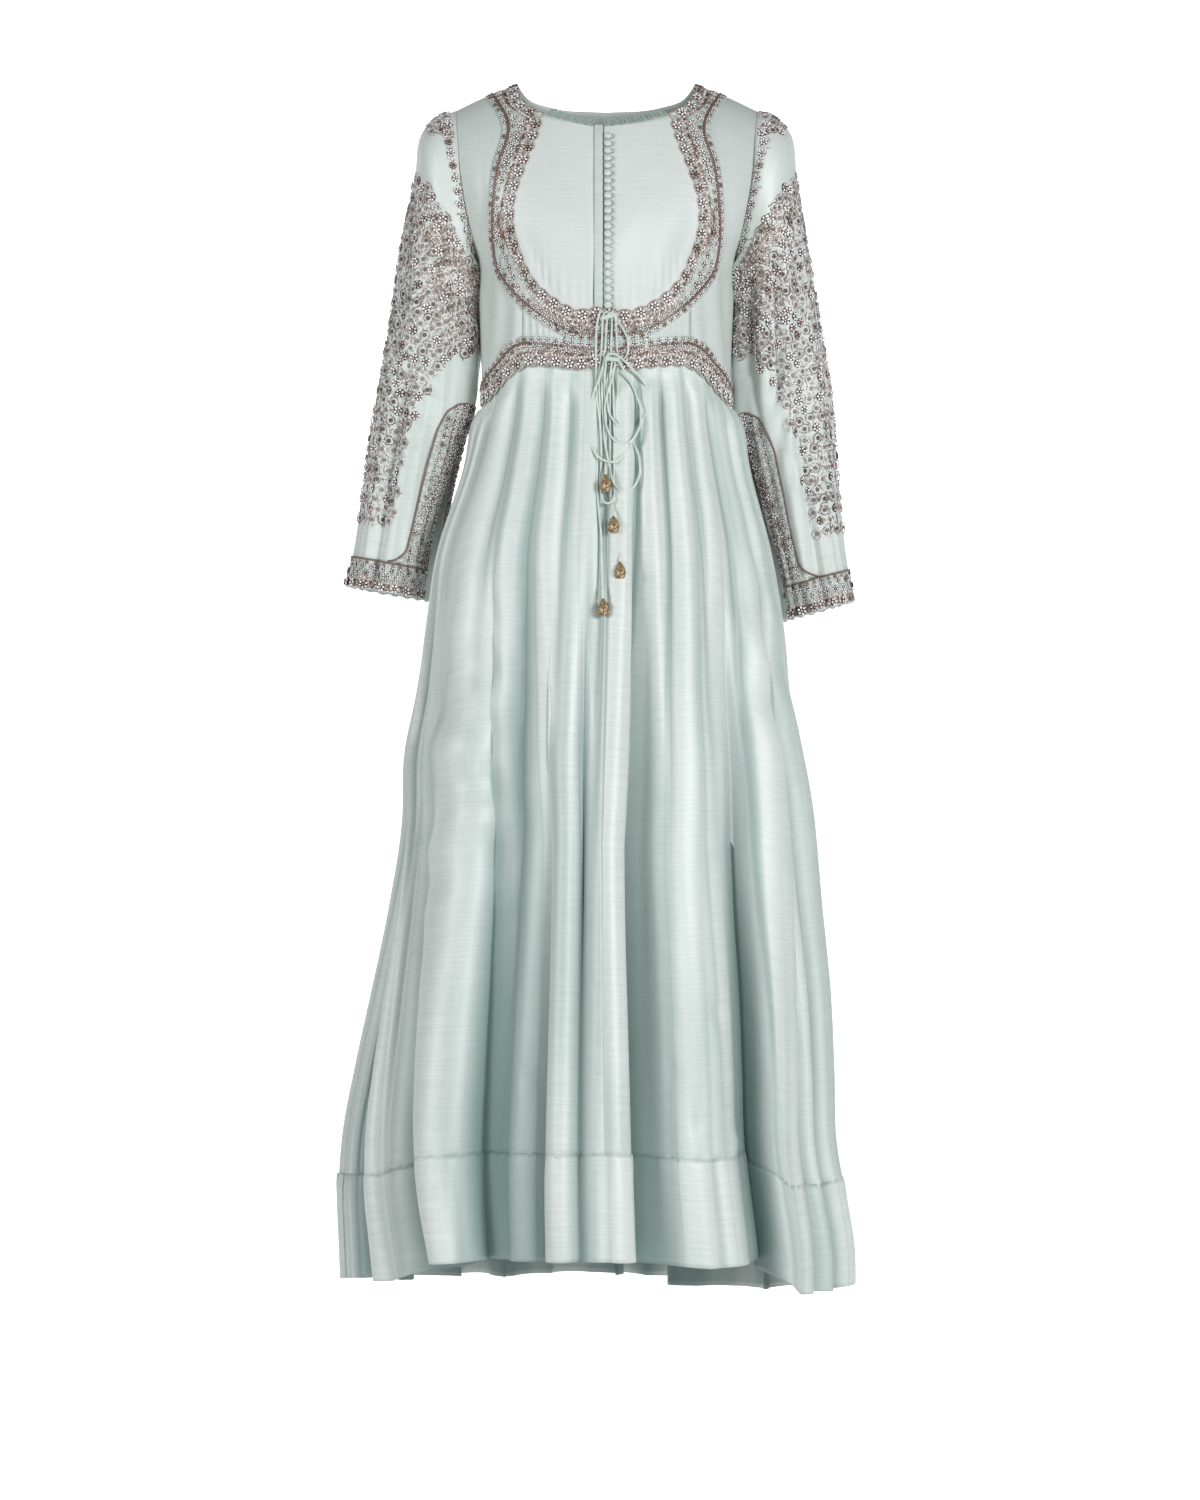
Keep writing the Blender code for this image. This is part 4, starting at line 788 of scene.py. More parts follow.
HANDS = (1, "left"), (-1, "right")
FINE = 8                                # cells of each panel's grid to one of its longer steps
BODICE_WALL, BORDER_WALL = 0.0013, 0.001
OPENING_X, PLACKET_WIDTH = -0.0034, 0.0102
yoke_silk = slub_silk("yoke_silk", dye(203, 210, 207), dye(224, 230, 228))
bodice_silk = slub_silk("bodice_silk", dye(192, 203, 199), dye(216, 223, 220))
borders, necklines = {}, {}
for hand, word in HANDS:
    opening = OPENING_X * hand
    yoke_edge = opening if hand > 0 else opening + PLACKET_WIDTH
    across, upright, gusset = 7 * FINE, 9 * FINE, 4 * FINE
    block = (3 if hand > 0 else 4) * FINE
    inner = on_torso(YOKE_SEAM + [(yoke_edge, YOKE_END_Z)], across + upright)
    outer = np.concatenate([on_torso(BORDER_SEAM, 12 * FINE),
                            on_torso(GUSSET_SEAM, gusset)[1:],
                            on_torso([GUSSET_SEAM[-1], *BLOCK_SEAM, (opening, BLOCK_END_Z)],
                                     block)[1:]])
    inside = np.concatenate([on_torso(NECK_EDGE, 3 * FINE), inner[1:]])
    if hand < 0:
        inside = np.concatenate([inside, on_torso(
            [(yoke_edge, YOKE_END_Z), (opening, YOKE_END_Z)], FINE)[1:]])
    hidden = beyond(inside, outer, 0.22)
    neckline = on_torso([(yoke_edge, NECK_FRONT_Z), NECK_MIDDLE, YOKE_SEAM[0]], across)

    under = hidden[3 * FINE:len(inner) + 3 * FINE].copy()
    under[0], under[-1] = neckline[-1], [inner[-1, 0], under[-1, 1]]
    middle = straight(yoke_edge, NECK_FRONT_Z, under[-1, 1], upright)
    yoke = fill(neckline, under[upright:][::-1], middle, under[:upright + 1])
    x = torso(yoke)[..., 0]
    low = smooth_step((-0.17 - yoke[..., 1]) / 0.06)
    gather = 0.0014 * low * np.exp(-from_line(yoke, inner) / 0.02) * np.sin(
        FULL_TURN * x / 0.0093 + 1.6 * np.sin(x * 75))
    soft = 0.0011 * np.sin(x * 120 + 2 * np.sin(yoke[..., 1] * 18)) * smooth_step(
        (-0.09 - yoke[..., 1]) / 0.12)
    turned_in = -0.0014 * hump(x, yoke_edge, 0.0014)
    clear = smooth_step((from_line(yoke, under) - 0.0075) / 0.01)
    piece = bodice("silk_yoke_" + word, yoke, hand, -1, clear * (gather + soft) + turned_in)
    fit(piece, yoke_silk, "pale_silk", "front_yoke_" + word)

    beside = beyond(inside, outer, 0.9)[:12 * FINE + 1]
    armhole = on_torso(ARMHOLE, 10 * FINE)
    side_seam = torso_side(ARMHOLE[-1][1], WAIST_SIDE[-1][1] - 0.006, 4 * FINE)
    beside[0] = outer[0]
    waist_side = on_torso(WAIST_SIDE, 4 * FINE) + [0, -0.006]
    princess_low = np.linspace(beside[-1], waist_side[0], 2 * FINE + 1)
    panel = fill(shoulder_seam(BORDER_SEAM[0][0], ARMHOLE[0][0], 4 * FINE), waist_side,
                 np.concatenate([beside, princess_low[1:]]),
                 np.concatenate([armhole, side_seam[1:]]))
    reach = torso(panel)[..., 0]
    fold = 0.0016 * np.sin(reach * 260 + 1.1 * np.sin(panel[..., 1] * 22)) * smooth_step(
        (-0.05 - panel[..., 1]) / 0.12) * smooth_step((0.15 - reach) / 0.02)
    fold = fold * smooth_step((from_line(panel, beside) - 0.003) / 0.012)
    piece = bodice("silk_side_front_" + word, panel, hand, -1, fold)
    fit(piece, bodice_silk, "silk", "side_front_" + word)

    gusset_top = on_torso(GUSSET_SEAM[::-1], gusset) + [0, 0.005]
    gusset_foot = on_torso(WAIST_TOP, gusset) - [0, 0.005]
    triangle = fill(gusset_top, gusset_foot,
                    np.linspace(gusset_top[0], gusset_foot[0], 2 * FINE + 1),
                    np.linspace(gusset_top[-1], gusset_foot[-1], 2 * FINE + 1))
    reach = torso(triangle)[..., 0]
    gather = 0.0009 * np.sin(FULL_TURN * reach / 0.0068 + 1.2 * np.sin(reach * 110))
    edges = np.minimum(from_line(triangle, gusset_top), from_line(triangle, gusset_foot))
    gather = gather * rise(edges, 0.003, 0.006)
    piece = bodice("silk_midriff_" + word, triangle, hand, -1, gather)
    fit(piece, bodice_silk, "silk", "midriff_" + word)

    top = np.concatenate([outer[-1 - block:][::-1][:-1],
                          on_torso(WAIST_TOP, gusset),
                          on_torso(WAIST_SIDE, 4 * FINE)[1:]])
    bottom = on_torso([(opening, WAIST_END_Z), *WAIST_SEAM], len(top) - 1)
    borders[word] = inside, outer, bottom, top
    necklines[word] = neckline
waist_front = borders["left"][2]

near, far = -OPENING_X, -OPENING_X + PLACKET_WIDTH
strip = fill(on_torso([(near, NECK_FRONT_Z), (far, NECK_FRONT_Z)], 16),
             on_torso([(near, YOKE_END_Z - 0.004), (far, YOKE_END_Z - 0.004)], 16),
             straight(near, NECK_FRONT_Z, YOKE_END_Z - 0.004, 150),
             straight(far, NECK_FRONT_Z, YOKE_END_Z - 0.004, 150))
way = np.linspace(0, 1, 17)
crown = 0.0013 * (1 - np.abs(2 * way - 1) ** 6) + 0.0003 * np.sin(
    strip[..., 1] * FULL_TURN / 0.019 + 3 * way) * way * (1 - way) * 2
placket = bodice("silk_placket", strip, -1, -1, crown - 0.0002)
# Painted shade: the placket is a darker copy of the yoke's silk, standing in for the shade along
# the raised strip and its edges.
shaded_placket_silk = slub_silk("shaded_placket_silk", dye(184, 198, 193), dye(212, 221, 217))
fit(placket, shaded_placket_silk, "pale_silk", "button_placket")


# ---- the silk back ----
# One plain panel of the same silk behind, from side seam to side seam, closed at the shoulders.

across, upright = 9 * 5, 14 * 4
neck_x, border_x, armhole_x = BACK_NECK[0][0], BORDER_SEAM[0][0], ARMHOLE[0][0]
back_waist = on_torso(BACK_WAIST, 200, 1)[::-1]
waist_angle = np.linspace(0, math.pi / 2, across + 1)
waist_back = np.stack([waist_angle, np.interp(waist_angle, *back_waist.T)], axis=1)
top = np.concatenate([on_torso(BACK_NECK, 20, 1)[::-1], shoulder_seam(neck_x, border_x, 5)[1:],
                      shoulder_seam(border_x, armhole_x, 20)[1:]])
right = np.concatenate([on_torso(ARMHOLE, 40, 1), torso_side(ARMHOLE[-1][1], -0.357, 16)[1:]])
half = fill(top, waist_back, straight(0.0, BACK_NECK[-1][1], BACK_WAIST[-1][1], upright, 1), right)
whole = np.concatenate([(half * [-1, 1])[:, :0:-1], half], axis=1)
x = torso(whole, 1)[..., 0]
drop = smooth_step((-0.1 - whole[..., 1]) / 0.16)
dart = -0.0016 * np.exp(-((np.abs(x) - 0.066) / 0.0022) ** 2) * drop
soft = 0.0017 * np.sin(x * 74 + 1.4 * np.sin(whole[..., 1] * 14)) * smooth_step(
    (-0.04 - whole[..., 1]) / 0.2)
back = bodice("silk_back", whole, 1, 1, dart + soft)
fit(back, bodice_silk, "silk", "back_bodice")


# ---- the sewn borders of the front ----
# Bands worked in antique brown and silver thread: a lobed edge with a flower in each lobe, close
# stitching, a couched cord and a line of small flowers. Two make the yoke's U, two the waist.

chance = np.random.default_rng(7)


def flower(petals, fine=True):
    """A flower one across: a dark disc of brown thread, raised petals each silver inside a dark
    outline, their raised insides painted near white as a glint, and a domed middle with a painted
    glint on its top; a small one, not fine, has plainer petals. Places, triangles and tones."""
    sides = 2 * petals
    points = [(0.9 * math.cos(t), 0.9 * math.sin(t), 0.04)
              for t in np.arange(sides) * math.pi / petals]
    points.append((0, 0, 0.12))
    tones = [0.0] * sides + [0.1]
    triangles = [(k, (k + 1) % sides, sides) for k in range(sides)]
    half = 0.82 * math.pi / petals
    outline = ((0.26, 0.0), (0.66, -half), (0.98, 0.0), (0.66, half))
    for k in range(petals):
        turn, base = FULL_TURN * k / petals, len(points)
        for scale, rise, tone in ((1.0, 0.1, 0.12), (0.76, 0.26, 1.0))[:1 + fine]:
            for far, swing in outline:
                far, swing = 0.62 + (far - 0.62) * scale, turn + swing * scale
                points.append((far * math.cos(swing), far * math.sin(swing), rise))
                tones.append(tone)
        points.append((0.62 * math.cos(turn), 0.62 * math.sin(turn), 0.34))
        tones.append(1.0)
        for i, j in ((0, 1), (1, 2), (2, 3), (3, 0)):
            if fine:
                triangles += [(base + i, base + j, base + 4 + j),
                              (base + i, base + 4 + j, base + 4 + i)]
            triangles.append((base + 4 * fine + i, base + 4 * fine + j, base + 4 + 4 * fine))
    base = len(points)
    points += [(0.2 * math.cos(t), 0.2 * math.sin(t), 0.28) for t in np.arange(6) * math.pi / 3]
    points.append((0, 0, 0.46))
    tones += [0.25] * 6 + [1.0]
    triangles += [(base + i, base + (i + 1) % 6, base + 6) for i in range(6)]
    return np.array(points), np.array(triangles), np.array(tones)


def grain_bead():
    """A round grain: six sides closing to a top, dark at its foot and bright at its top as painted
    shade and painted highlight.
    """
    turn = np.arange(6) * math.pi / 3
    points = np.stack([np.cos(turn), np.sin(turn), np.zeros(6)], axis=1)
    points = np.concatenate([points, points * [0.7, 0.7, 0] + [0, 0, 0.6], [(0, 0, 0.85)]])
    low = [(k, (k + 1) % 6, 6 + k) for k in range(6)]
    high = [((k + 1) % 6, 6 + (k + 1) % 6, 6 + k) for k in range(6)]
    cap = [(6 + k, 6 + (k + 1) % 6, 12) for k in range(6)]
    return points, np.array(low + high + cap), np.array([0.1] * 6 + [0.6] * 6 + [1.0])


def leaf():
    """A pointed leaf along +X from 0 to 1: a dark outline of brown thread and a raised rib of
    silver painted bright as a glint.
    """
    outline = [(0, 0), (0.28, -0.22), (0.68, -0.2), (1, 0), (0.68, 0.2), (0.28, 0.22)]
    points = np.array([(x, y, 0.06) for x, y in outline] + [(0.3, 0, 0.28), (0.68, 0, 0.24)])
    triangles = [(0, 1, 6), (1, 2, 6), (2, 7, 6), (2, 3, 7), (3, 4, 7), (4, 5, 6), (4, 6, 7),
                 (5, 0, 6)]
    return points, np.array(triangles), np.array([0.2, 0.16, 0.16, 0.25, 0.16, 0.16, 1.0, 0.95])


def sown(motif, spots, size, lift=0.0002):
    """A motif at each spot: its places turned to the spot's heading, scaled, and stood on the
    cloth. spots are (places, outward, heading)."""
    points, triangles, tones = motif
    places, outward, heading = (part.reshape(-1, 3) for part in spots)
    size = np.broadcast_to(size, len(places))[:, None, None]
    across = np.cross(outward, heading)
    laid = (places + outward * lift)[:, None] + size * (
        points[None, :, :1] * heading[:, None] + points[None, :, 1:2] * across[:, None]
        + points[None, :, 2:] * outward[:, None])
    faces = triangles[None] + (np.arange(len(places)) * len(points))[:, None, None]
    # The motif's tones, brown thread to silver with its painted glints, are made brighter or duller
    # for each motif at random.
    glints = np.clip(tones[None] * chance.uniform(0.45, 1.3, (len(places), 1))
                     * chance.uniform(0.8, 1.1, (len(places), len(points))), 0, 1)
    return laid.reshape(-1, 3), faces.reshape(-1, 3), glints.ravel()


def any_way(spots):
    """The same spots, each with its heading turned at random on the cloth."""
    places, outward, heading = (part.reshape(-1, 3) for part in spots)
    turn = chance.uniform(0, FULL_TURN, len(places))[:, None]
    return places, outward, np.cos(turn) * heading + np.sin(turn) * np.cross(outward, heading)


def couched(path, outward, thick, bright, sides=5):
    """A cord couched along a path on the cloth: half a round section carried along it, its tone
    twisting round in bands of painted glint and painted shade, as on a twisted cord."""
    along = unit(np.gradient(path, axis=0))
    beside = unit(np.cross(outward, along))
    turn = np.linspace(0, math.pi, sides)[:, None]
    section = path[:, None] + thick * (np.cos(turn) * beside[:, None]
                                       + 1.15 * np.sin(turn) * outward[:, None])
    quads = cells(len(path), sides)
    faces = np.concatenate([quads[:, [0, 1, 2]], quads[:, [0, 2, 3]]])
    twist = bright * (1 + 0.8 * np.sin(np.arange(len(path))[:, None] * 2.1 + np.arange(sides)))
    return section.reshape(-1, 3), faces[:, ::-1], np.clip(twist, 0, 1).ravel()


def sow(motif, lay, far, away, size):
    """A motif sown at distances along a lay, one distance away."""
    return sown(motif, any_way(lay(far, np.full_like(far, away))), size)


def couched_on(lay, far, away, thick, bright):
    """A cord couched along a lay, at one distance away or at each of several."""
    path, outward, _ = lay(far, np.broadcast_to(away, far.shape))
    return couched(path, outward, thick, bright)


def couched_where(kept, path, outward, thick, bright):
    """Couched cords along the parts of a path that are kept."""
    marks = np.flatnonzero(np.diff(np.r_[0, kept.astype(int), 0]))
    return [couched(path[a:b], outward[a:b], thick, bright)
            for a, b in zip(marks[::2], marks[1::2]) if b - a > 3]


def joined(name, parts, hand):
    """One mesh of many sewn parts, mirrored with its faces turned back for hand -1."""
    points, faces, tones, base = [], [], [], 0
    for part_points, part_faces, part_tones in parts:
        points.append(mirrored(part_points, hand))
        faces.append(part_faces[:, ::hand] + base)
        tones.append(part_tones)
        base += len(part_points)
    return toned(shape(name, np.concatenate(points), np.concatenate(faces)), np.concatenate(tones))


def torso_lay(seam):
    """Gives a function that finds places on the torso a distance along a seam and a distance away
    from it, to the left of its run seen from outside. It returns places, outward, heading."""
    line = torso(seam)
    run = distances(line)
    ways = unit(np.stack([np.convolve(np.pad(part, 4, "edge"), np.ones(9) / 9, "valid")
                          for part in np.gradient(line, axis=0).T], axis=1))

    def lay(far, away):
        """Places, outward and heading at distances along the seam and away from it."""
        far, away = np.broadcast_arrays(np.asarray(far, float), np.asarray(away, float))
        at = between(far, run, line)
        heading = unit(between(far, run, ways))
        outward = torso_outward(at, -1)
        spot = at + np.cross(outward, heading) * away[..., None]
        z = np.minimum(spot[..., 2], read(SHOULDER, "height", np.abs(spot[..., 0])) - 2e-4)
        spot = torso(angled(spot[..., 0], z))
        outward = torso_outward(spot, -1)
        heading = unit(heading - outward * np.sum(heading * outward, axis=-1, keepdims=True))
        return spot, outward, heading

    return lay, run


LOBE, LOBE_DEEP = 0.016, 0.0036        # the lobes' pitch along the edge, and their depth
RIM = 0.008                            # from the far edge to its dark cord
COUCH_STEP = 0.0011
rose, bloom, floret, grain, blade = flower(6), flower(5), flower(5, False), grain_bead(), leaf()


def lobes(far, pitch, deep=LOBE_DEEP):
    """How far the lobed edge is drawn in at a distance along it: not at all at each lobe's tip."""
    return deep * (1 - np.abs(np.sin(math.pi * far / pitch)) ** 0.7)


def gap(places, line):
    """How far each place is from the nearest of a line's."""
    return np.min(np.linalg.norm(places[:, None] - line[None], axis=-1), axis=1)


def along_border(near_seam, far_seam):
    """The sewn parts of a border, row by row from its lobed edge: lobe flowers, close grains,
    flowers as far as they fit, and along its other edge small flowers beside a dark cord. Parts
    of a row that would cross another side's rows are left out."""
    edge, rim = torso(near_seam), torso(far_seam)
    (lay, run), (rim_lay, rim_run) = torso_lay(near_seam), torso_lay(far_seam)

    reach = gap(edge, rim)

    def clear(spot, away, size, from_rim):
        """Which spots keep to their own side's rows and off every other's."""
        below = read(SHOULDER, "height", np.abs(spot[:, 0])) - spot[:, 2] > 0.0012
        to_edge = np.linalg.norm(spot[:, None] - edge[None], axis=-1)
        within = np.min(to_edge, axis=1) < reach[np.argmin(to_edge, axis=1)] + 0.001
        own, other = (rim, edge) if from_rim else (edge, rim)
        least = 0.004 if from_rim else RIM + 0.0014
        return (below & within & (gap(spot, own) > away - 0.0005)
                & (gap(spot, other) > least + size))

    def meeting(spot):
        """Where the borders meet at the front: closely sewn there, without the dark cord."""
        return (np.abs(spot[:, 0]) < 0.085) & (spot[:, 2] < -0.2)

    def row(motif, away, pitch, size, start=0.5, from_rim=False, where=None):
        """A motif sown in a row at one distance from the lobed edge, or from the other one."""
        length = (rim_run if from_rim else run)[-1]
        count = max(1, round(length / pitch))
        far = (np.arange(count) + start) * length / count
        spots = rim_lay(far, -away) if from_rim else lay(far, away)
        kept = clear(spots[0], away, size, from_rim) & (where(spots[0]) if where else True)
        return sown(motif, any_way(tuple(part[kept] for part in spots)), size)

    length = run[-1]
    pitch = length / round(length / LOBE)
    parts = [row(rose, 0.0066, pitch, 0.0061), row(floret, 0.0098, pitch, 0.0024, 0.0)]
    parts.append(row(grain, 0.014, 0.0036, 0.0015))
    for k, away in enumerate((0.0238, 0.0332, 0.0426, 0.052)):
        parts.append(row((bloom, rose)[k % 2], away, 0.0106, 0.0045, 0.5 * (k % 2)))
        parts.append(row(grain, away, 0.0106, 0.0013, 0.5 * (k % 2) + 0.5))
    parts.append(row(bloom, RIM + 0.0044, 0.0094, 0.0036, 0.0, True))
    parts.append(row(bloom, 0.004, 0.01, 0.0038, 0.5, True))
    parts.append(row(floret, RIM, 0.0047, 0.0025, 0.5, True, meeting))
    far = np.arange(0, length, COUCH_STEP)
    for away, thick, bright in ((0.0007, 0.0008, 0.35), (0.0024, 0.0004, 0.7)):
        parts.append(couched_on(lay, far, lobes(far, pitch) + away, thick, bright))
    for away, thick, bright in ((RIM, 0.0018, 0.2), (0.0128, 0.0007, 0.5)):
        from_rim = away == RIM
        far = np.arange(0, (rim_run if from_rim else run)[-1], COUCH_STEP)
        spot, outward, _ = rim_lay(far, -away) if from_rim else lay(far, away)
        kept = clear(spot, away, 0.0, from_rim) & ~(meeting(spot) & from_rim)
        parts += couched_where(kept, spot, outward, thick, bright)
    return parts


# Brown thread at low tones and silver at high ones; the highest go to white with no metal in the
# shader, as painted glints.
metal_thread, strand, shader = finish("metal_thread", Metallic=0.0)
tone = strand.tone()
spot = strand.node("TexCoord", {}, {}, 3)
twist = spot.noise((2600, 2600, 2600), 1.0)
worn = spot.noise((240, 240, 240), 2.0)
bright = tone * (0.72 + 0.46 * worn) + 0.22 * (twist - 0.5)
colour = bright.ramp((0.0, dye(56, 42, 38)), (0.22, dye(116, 94, 86)),
                     (0.45, dye(200, 184, 174)), (0.64, dye(255, 253, 255)))
feed(shader, Base_Color=colour, Roughness=0.44 - 0.18 * tone, Normal=twist.bump(0.00004))

stitched, strand, shader = finish("stitched_ground", Metallic=0.08)
cloth = strand.cloth()
dense = strand.tone()
knots, glint = cloth.cellular(520.0)
slub = cloth.noise((430, 26, 1), 3.0, 0.62)
# Painted highlight and shade: each knot of thread is lighter at its middle and darker at its rim,
# and knots picked at random are painted near white as glints.
thread = (glint * 0.85 + 0.3 * (1 - knots)).ramp(
    (0.25, dye(84, 64, 54)), (0.5, dye(126, 102, 90)),
    (0.75, dye(188, 172, 162)), (0.95, dye(252, 248, 248)))
silk = slub.over(0.34, 0.66).mix(dye(178, 196, 190), dye(220, 229, 225))
feed(shader, Base_Color=dense.mix(silk, thread), Roughness=0.42 + 0.1 * glint,
     Normal=((1 - knots) * dense + 0.2 * slub).bump(0.0003))


def sewn_band(name, inside, outside, hand, lift):
    """The ground of a border: a grid from its lobed edge to its far one, its tone the closeness
    of the stitching."""
    run = torso_lay(inside)[1]
    reach = gap(torso(inside), torso(outside))
    reach = np.convolve(np.pad(reach, 6, "edge"), np.ones(13) / 13, "valid")
    length = run[-1]
    pitch = length / round(length / LOBE)
    far = np.linspace(0, length, int(length / 0.0018))
    across = between(far, run, inside)
    beyond_it = between(far, run, outside)
    wide = np.interp(far, run, reach)
    start = (lobes(far, pitch) - 0.0006) / wide
    t = start[:, None] + (1 - start[:, None]) * np.linspace(0, 1, 17)
    angles = across[:, None] + t[..., None] * (beyond_it - across)[:, None]
    places = torso(angles)
    outward = torso_outward(places, -1)
    places = places + outward * lift
    spread = stacked(far[:, None], t * wide[:, None])
    thing = surface(name, facing(places, outward, spread, hand))
    away = spread[..., 1]
    inner = smooth_step((wide[:, None] - away - 0.0066) / 0.0018) * smooth_step(
        (away - 0.0006) / 0.002)
    dense = rise(away, 0.0122, 0.002) * smooth_step((0.0206 - away) / 0.002)
    close = inner * (0.14 + 0.2 * smooth_step((0.013 - away) / 0.002) + 0.86 * dense)
    meeting = smooth_step((0.095 - np.abs(places[..., 0])) / 0.02) * (places[..., 2] < -0.2)
    close = np.minimum(np.maximum(close, 0.66 * inner * meeting), 1)
    return walled(toned(thing, close), BORDER_WALL)


for hand, word in HANDS:
    inside, outer, bottom, top = borders[word]
    for name, near_seam, far_seam, lift in (("yoke_border_" + word, inside, outer, 0.0009),
                                            ("waist_border_" + word, bottom, top, 0.001)):
        fit(sewn_band("sewn_" + name, near_seam, far_seam, hand, lift), stitched, "metal_thread",
            name)
        parts = [(points + torso_outward(points, -1) * lift, faces, tones)
                 for points, faces, tones in along_border(near_seam, far_seam)]
        fit(joined("embroidery_" + name, parts, hand), metal_thread, "metal_thread")


# ---- the sleeves ----
# Two long silk sleeves, set in at the armhole and widening to the cuff, each slit up the inner
# side of the forearm. The cuff's edge is cut in lobes. They fall in soft folds, the right one
# with a deep crease down its front.

# The sleeves from armhole to cuff: outer and inner edge of each ring, for the left sleeve and for
# the right, which hangs a little wider and bent, and the rings' middle and half depths.
SLEEVE_RINGS = table(
    "share left_x left_z left_in_x left_in_z right_x right_z right_in_x right_in_z "
    "middle front back",
    (0.035, 0.19, -0.0275, 0.1512, -0.195, 0.19, -0.0275, 0.1512, -0.195, 0.0, 0.054, 0.05),
    (0.08, 0.207, -0.044, 0.1522, -0.206, 0.207, -0.044, 0.1522, -0.206, 0.002, 0.055, 0.052),
    (0.16, 0.2165, -0.092, 0.1512, -0.226, 0.217, -0.092, 0.1512, -0.226, 0.004, 0.054, 0.053),
    (0.27, 0.227, -0.154, 0.1496, -0.256, 0.23, -0.154, 0.15, -0.256, 0.008, 0.052, 0.052),
    (0.44, 0.243, -0.26, 0.149, -0.308, 0.246, -0.255, 0.1505, -0.3, 0.014, 0.05, 0.05),
    (0.6, 0.257, -0.348, 0.152, -0.376, 0.262, -0.342, 0.157, -0.364, 0.022, 0.048, 0.048),
    (0.78, 0.266, -0.45, 0.174, -0.472, 0.277, -0.44, 0.179, -0.458, 0.034, 0.045, 0.046),
    (0.91, 0.275, -0.526, 0.1905, -0.55, 0.288, -0.512, 0.193, -0.53, 0.042, 0.043, 0.046),
    (1.0, 0.284, -0.578, 0.1985, -0.602, 0.298, -0.56, 0.1975, -0.578, 0.046, 0.042, 0.047),
)

SEAM = 0.0003
SLIT_TOP, SLIT_BAND_TOP = 0.62, 0.57    # shares of the sleeve's length
SLEEVE_WALL, CUFF_WALL, SLIT_WALL = 0.0012, 0.0009, 0.0008
CUFF_LOBES, CUFF_DEEP = 19, 0.0042
SLEEVE_LONG = 0.6


def sleeve_rings(word):
    """The armhole and the rings of one sleeve: the share of each, and its places round it."""
    turn = np.linspace(0, FULL_TURN, 241)
    fore = on_torso(ARMHOLE, 120)[::-1]
    hind = on_torso(ARMHOLE, 120, 1)
    armhole = np.concatenate([torso(fore), torso(hind[1:], 1)])
    armhole[:, 0] += SEAM
    outer_x, outer_z, inner_x, inner_z, middle, fore_depth, hind_depth = (
        SLEEVE_RINGS[key][:, None] for key in (
            word + "_x", word + "_z", word + "_in_x", word + "_in_z", "middle", "front", "back"))
    swing = np.cos(turn)
    depth = np.where(turn <= math.pi, -fore_depth, -hind_depth)
    rounds = np.stack([(outer_x + inner_x) / 2 - swing * (outer_x - inner_x) / 2,
                       middle + depth * np.sin(turn),
                       (outer_z + inner_z) / 2 - swing * (outer_z - inner_z) / 2], axis=-1)
    return np.r_[0, SLEEVE_RINGS["share"]], np.concatenate([armhole[None], rounds])


def sleeve(cut, turn, share):
    """Place on a sleeve at an angle from its inner line, forward first, and a share of its length:
    the rings are read at the angle and joined by a smooth Hermite curve."""
    shares, rounds = cut
    turn, share = np.broadcast_arrays(np.asarray(turn, float), np.asarray(share, float))
    slopes = np.gradient(rounds, shares, axis=0)
    steps = rounds.shape[1] - 1
    at = np.mod(turn, FULL_TURN) / FULL_TURN * steps
    low = np.clip(at.astype(int), 0, steps - 1)
    part = (at - low)[..., None]
    share = np.clip(share, 0, 1)
    k = np.clip(np.searchsorted(shares, share, side="right") - 1, 0, len(shares) - 2)
    span = (shares[k + 1] - shares[k])[..., None]
    t = ((share - shares[k]) / span[..., 0])[..., None]

    def ring(values, row):
        """The values of one ring, read between its two nearest places."""
        return values[row, low] * (1 - part) + values[row, low + 1] * part

    return cubic(t, span, ring(rounds, k), ring(slopes, k),
                 ring(rounds, k + 1), ring(slopes, k + 1))


def ways_on(find, turn, share, around, down, edge):
    """How the place that find gives changes round and down, by small steps, and the direction out
    of the cloth there. The share keeps off both ends by edge."""
    share = np.clip(share, edge, 1 - edge)
    round_it = find(turn + around, share) - find(turn - around, share)
    down_it = find(turn, share + down) - find(turn, share - down)
    return round_it, down_it, unit(np.cross(down_it, round_it))


def slit_edges(share):
    """The angles of the slit's front and back edges: together at its top, apart at the cuff."""
    turned = smooth_step(share / SLIT_TOP) * math.radians(24)
    opened = smooth_step((share - SLIT_TOP) / (1 - SLIT_TOP)) * math.radians(17)
    return turned + opened, turned - opened


def ridge(turn, at, width):
    """A soft ridge along an angle: 1 on it, falling off to each side over its width, in degrees."""
    away = (np.degrees(turn) - at + 180) % 360 - 180
    return np.exp(-(away / width) ** 2)


UPPER, LOWER, WHOLE = 0, 1, 2
# Long soft folds of each sleeve: metres out, which part of it they lie on, their angle in degrees
# from the inner line, how that drifts by the cuff, and their half width.
SLEEVE_FOLDS = {
    "left": [
        (-0.006, UPPER, 40, 22, 8), (0.003, UPPER, 66, 10, 12), (-0.0052, UPPER, 96, -30, 8),
        (-0.0072, LOWER, 112, -14, 9), (0.0034, LOWER, 84, 0, 13), (0.0028, LOWER, 140, 0, 14),
        (-0.005, WHOLE, 214, 12, 12), (-0.0042, WHOLE, 272, -16, 13), (0.0032, WHOLE, 244, 0, 14)],
    "right": [
        (-0.0095, LOWER, 117, -4, 5.5), (0.004, LOWER, 98, 0, 9), (0.003, LOWER, 136, 0, 9),
        (-0.004, UPPER, 52, 10, 10), (-0.003, LOWER, 72, 0, 8), (-0.0048, WHOLE, 208, 10, 12),
        (-0.0044, WHOLE, 262, -12, 13), (0.0032, WHOLE, 236, 0, 14)]}
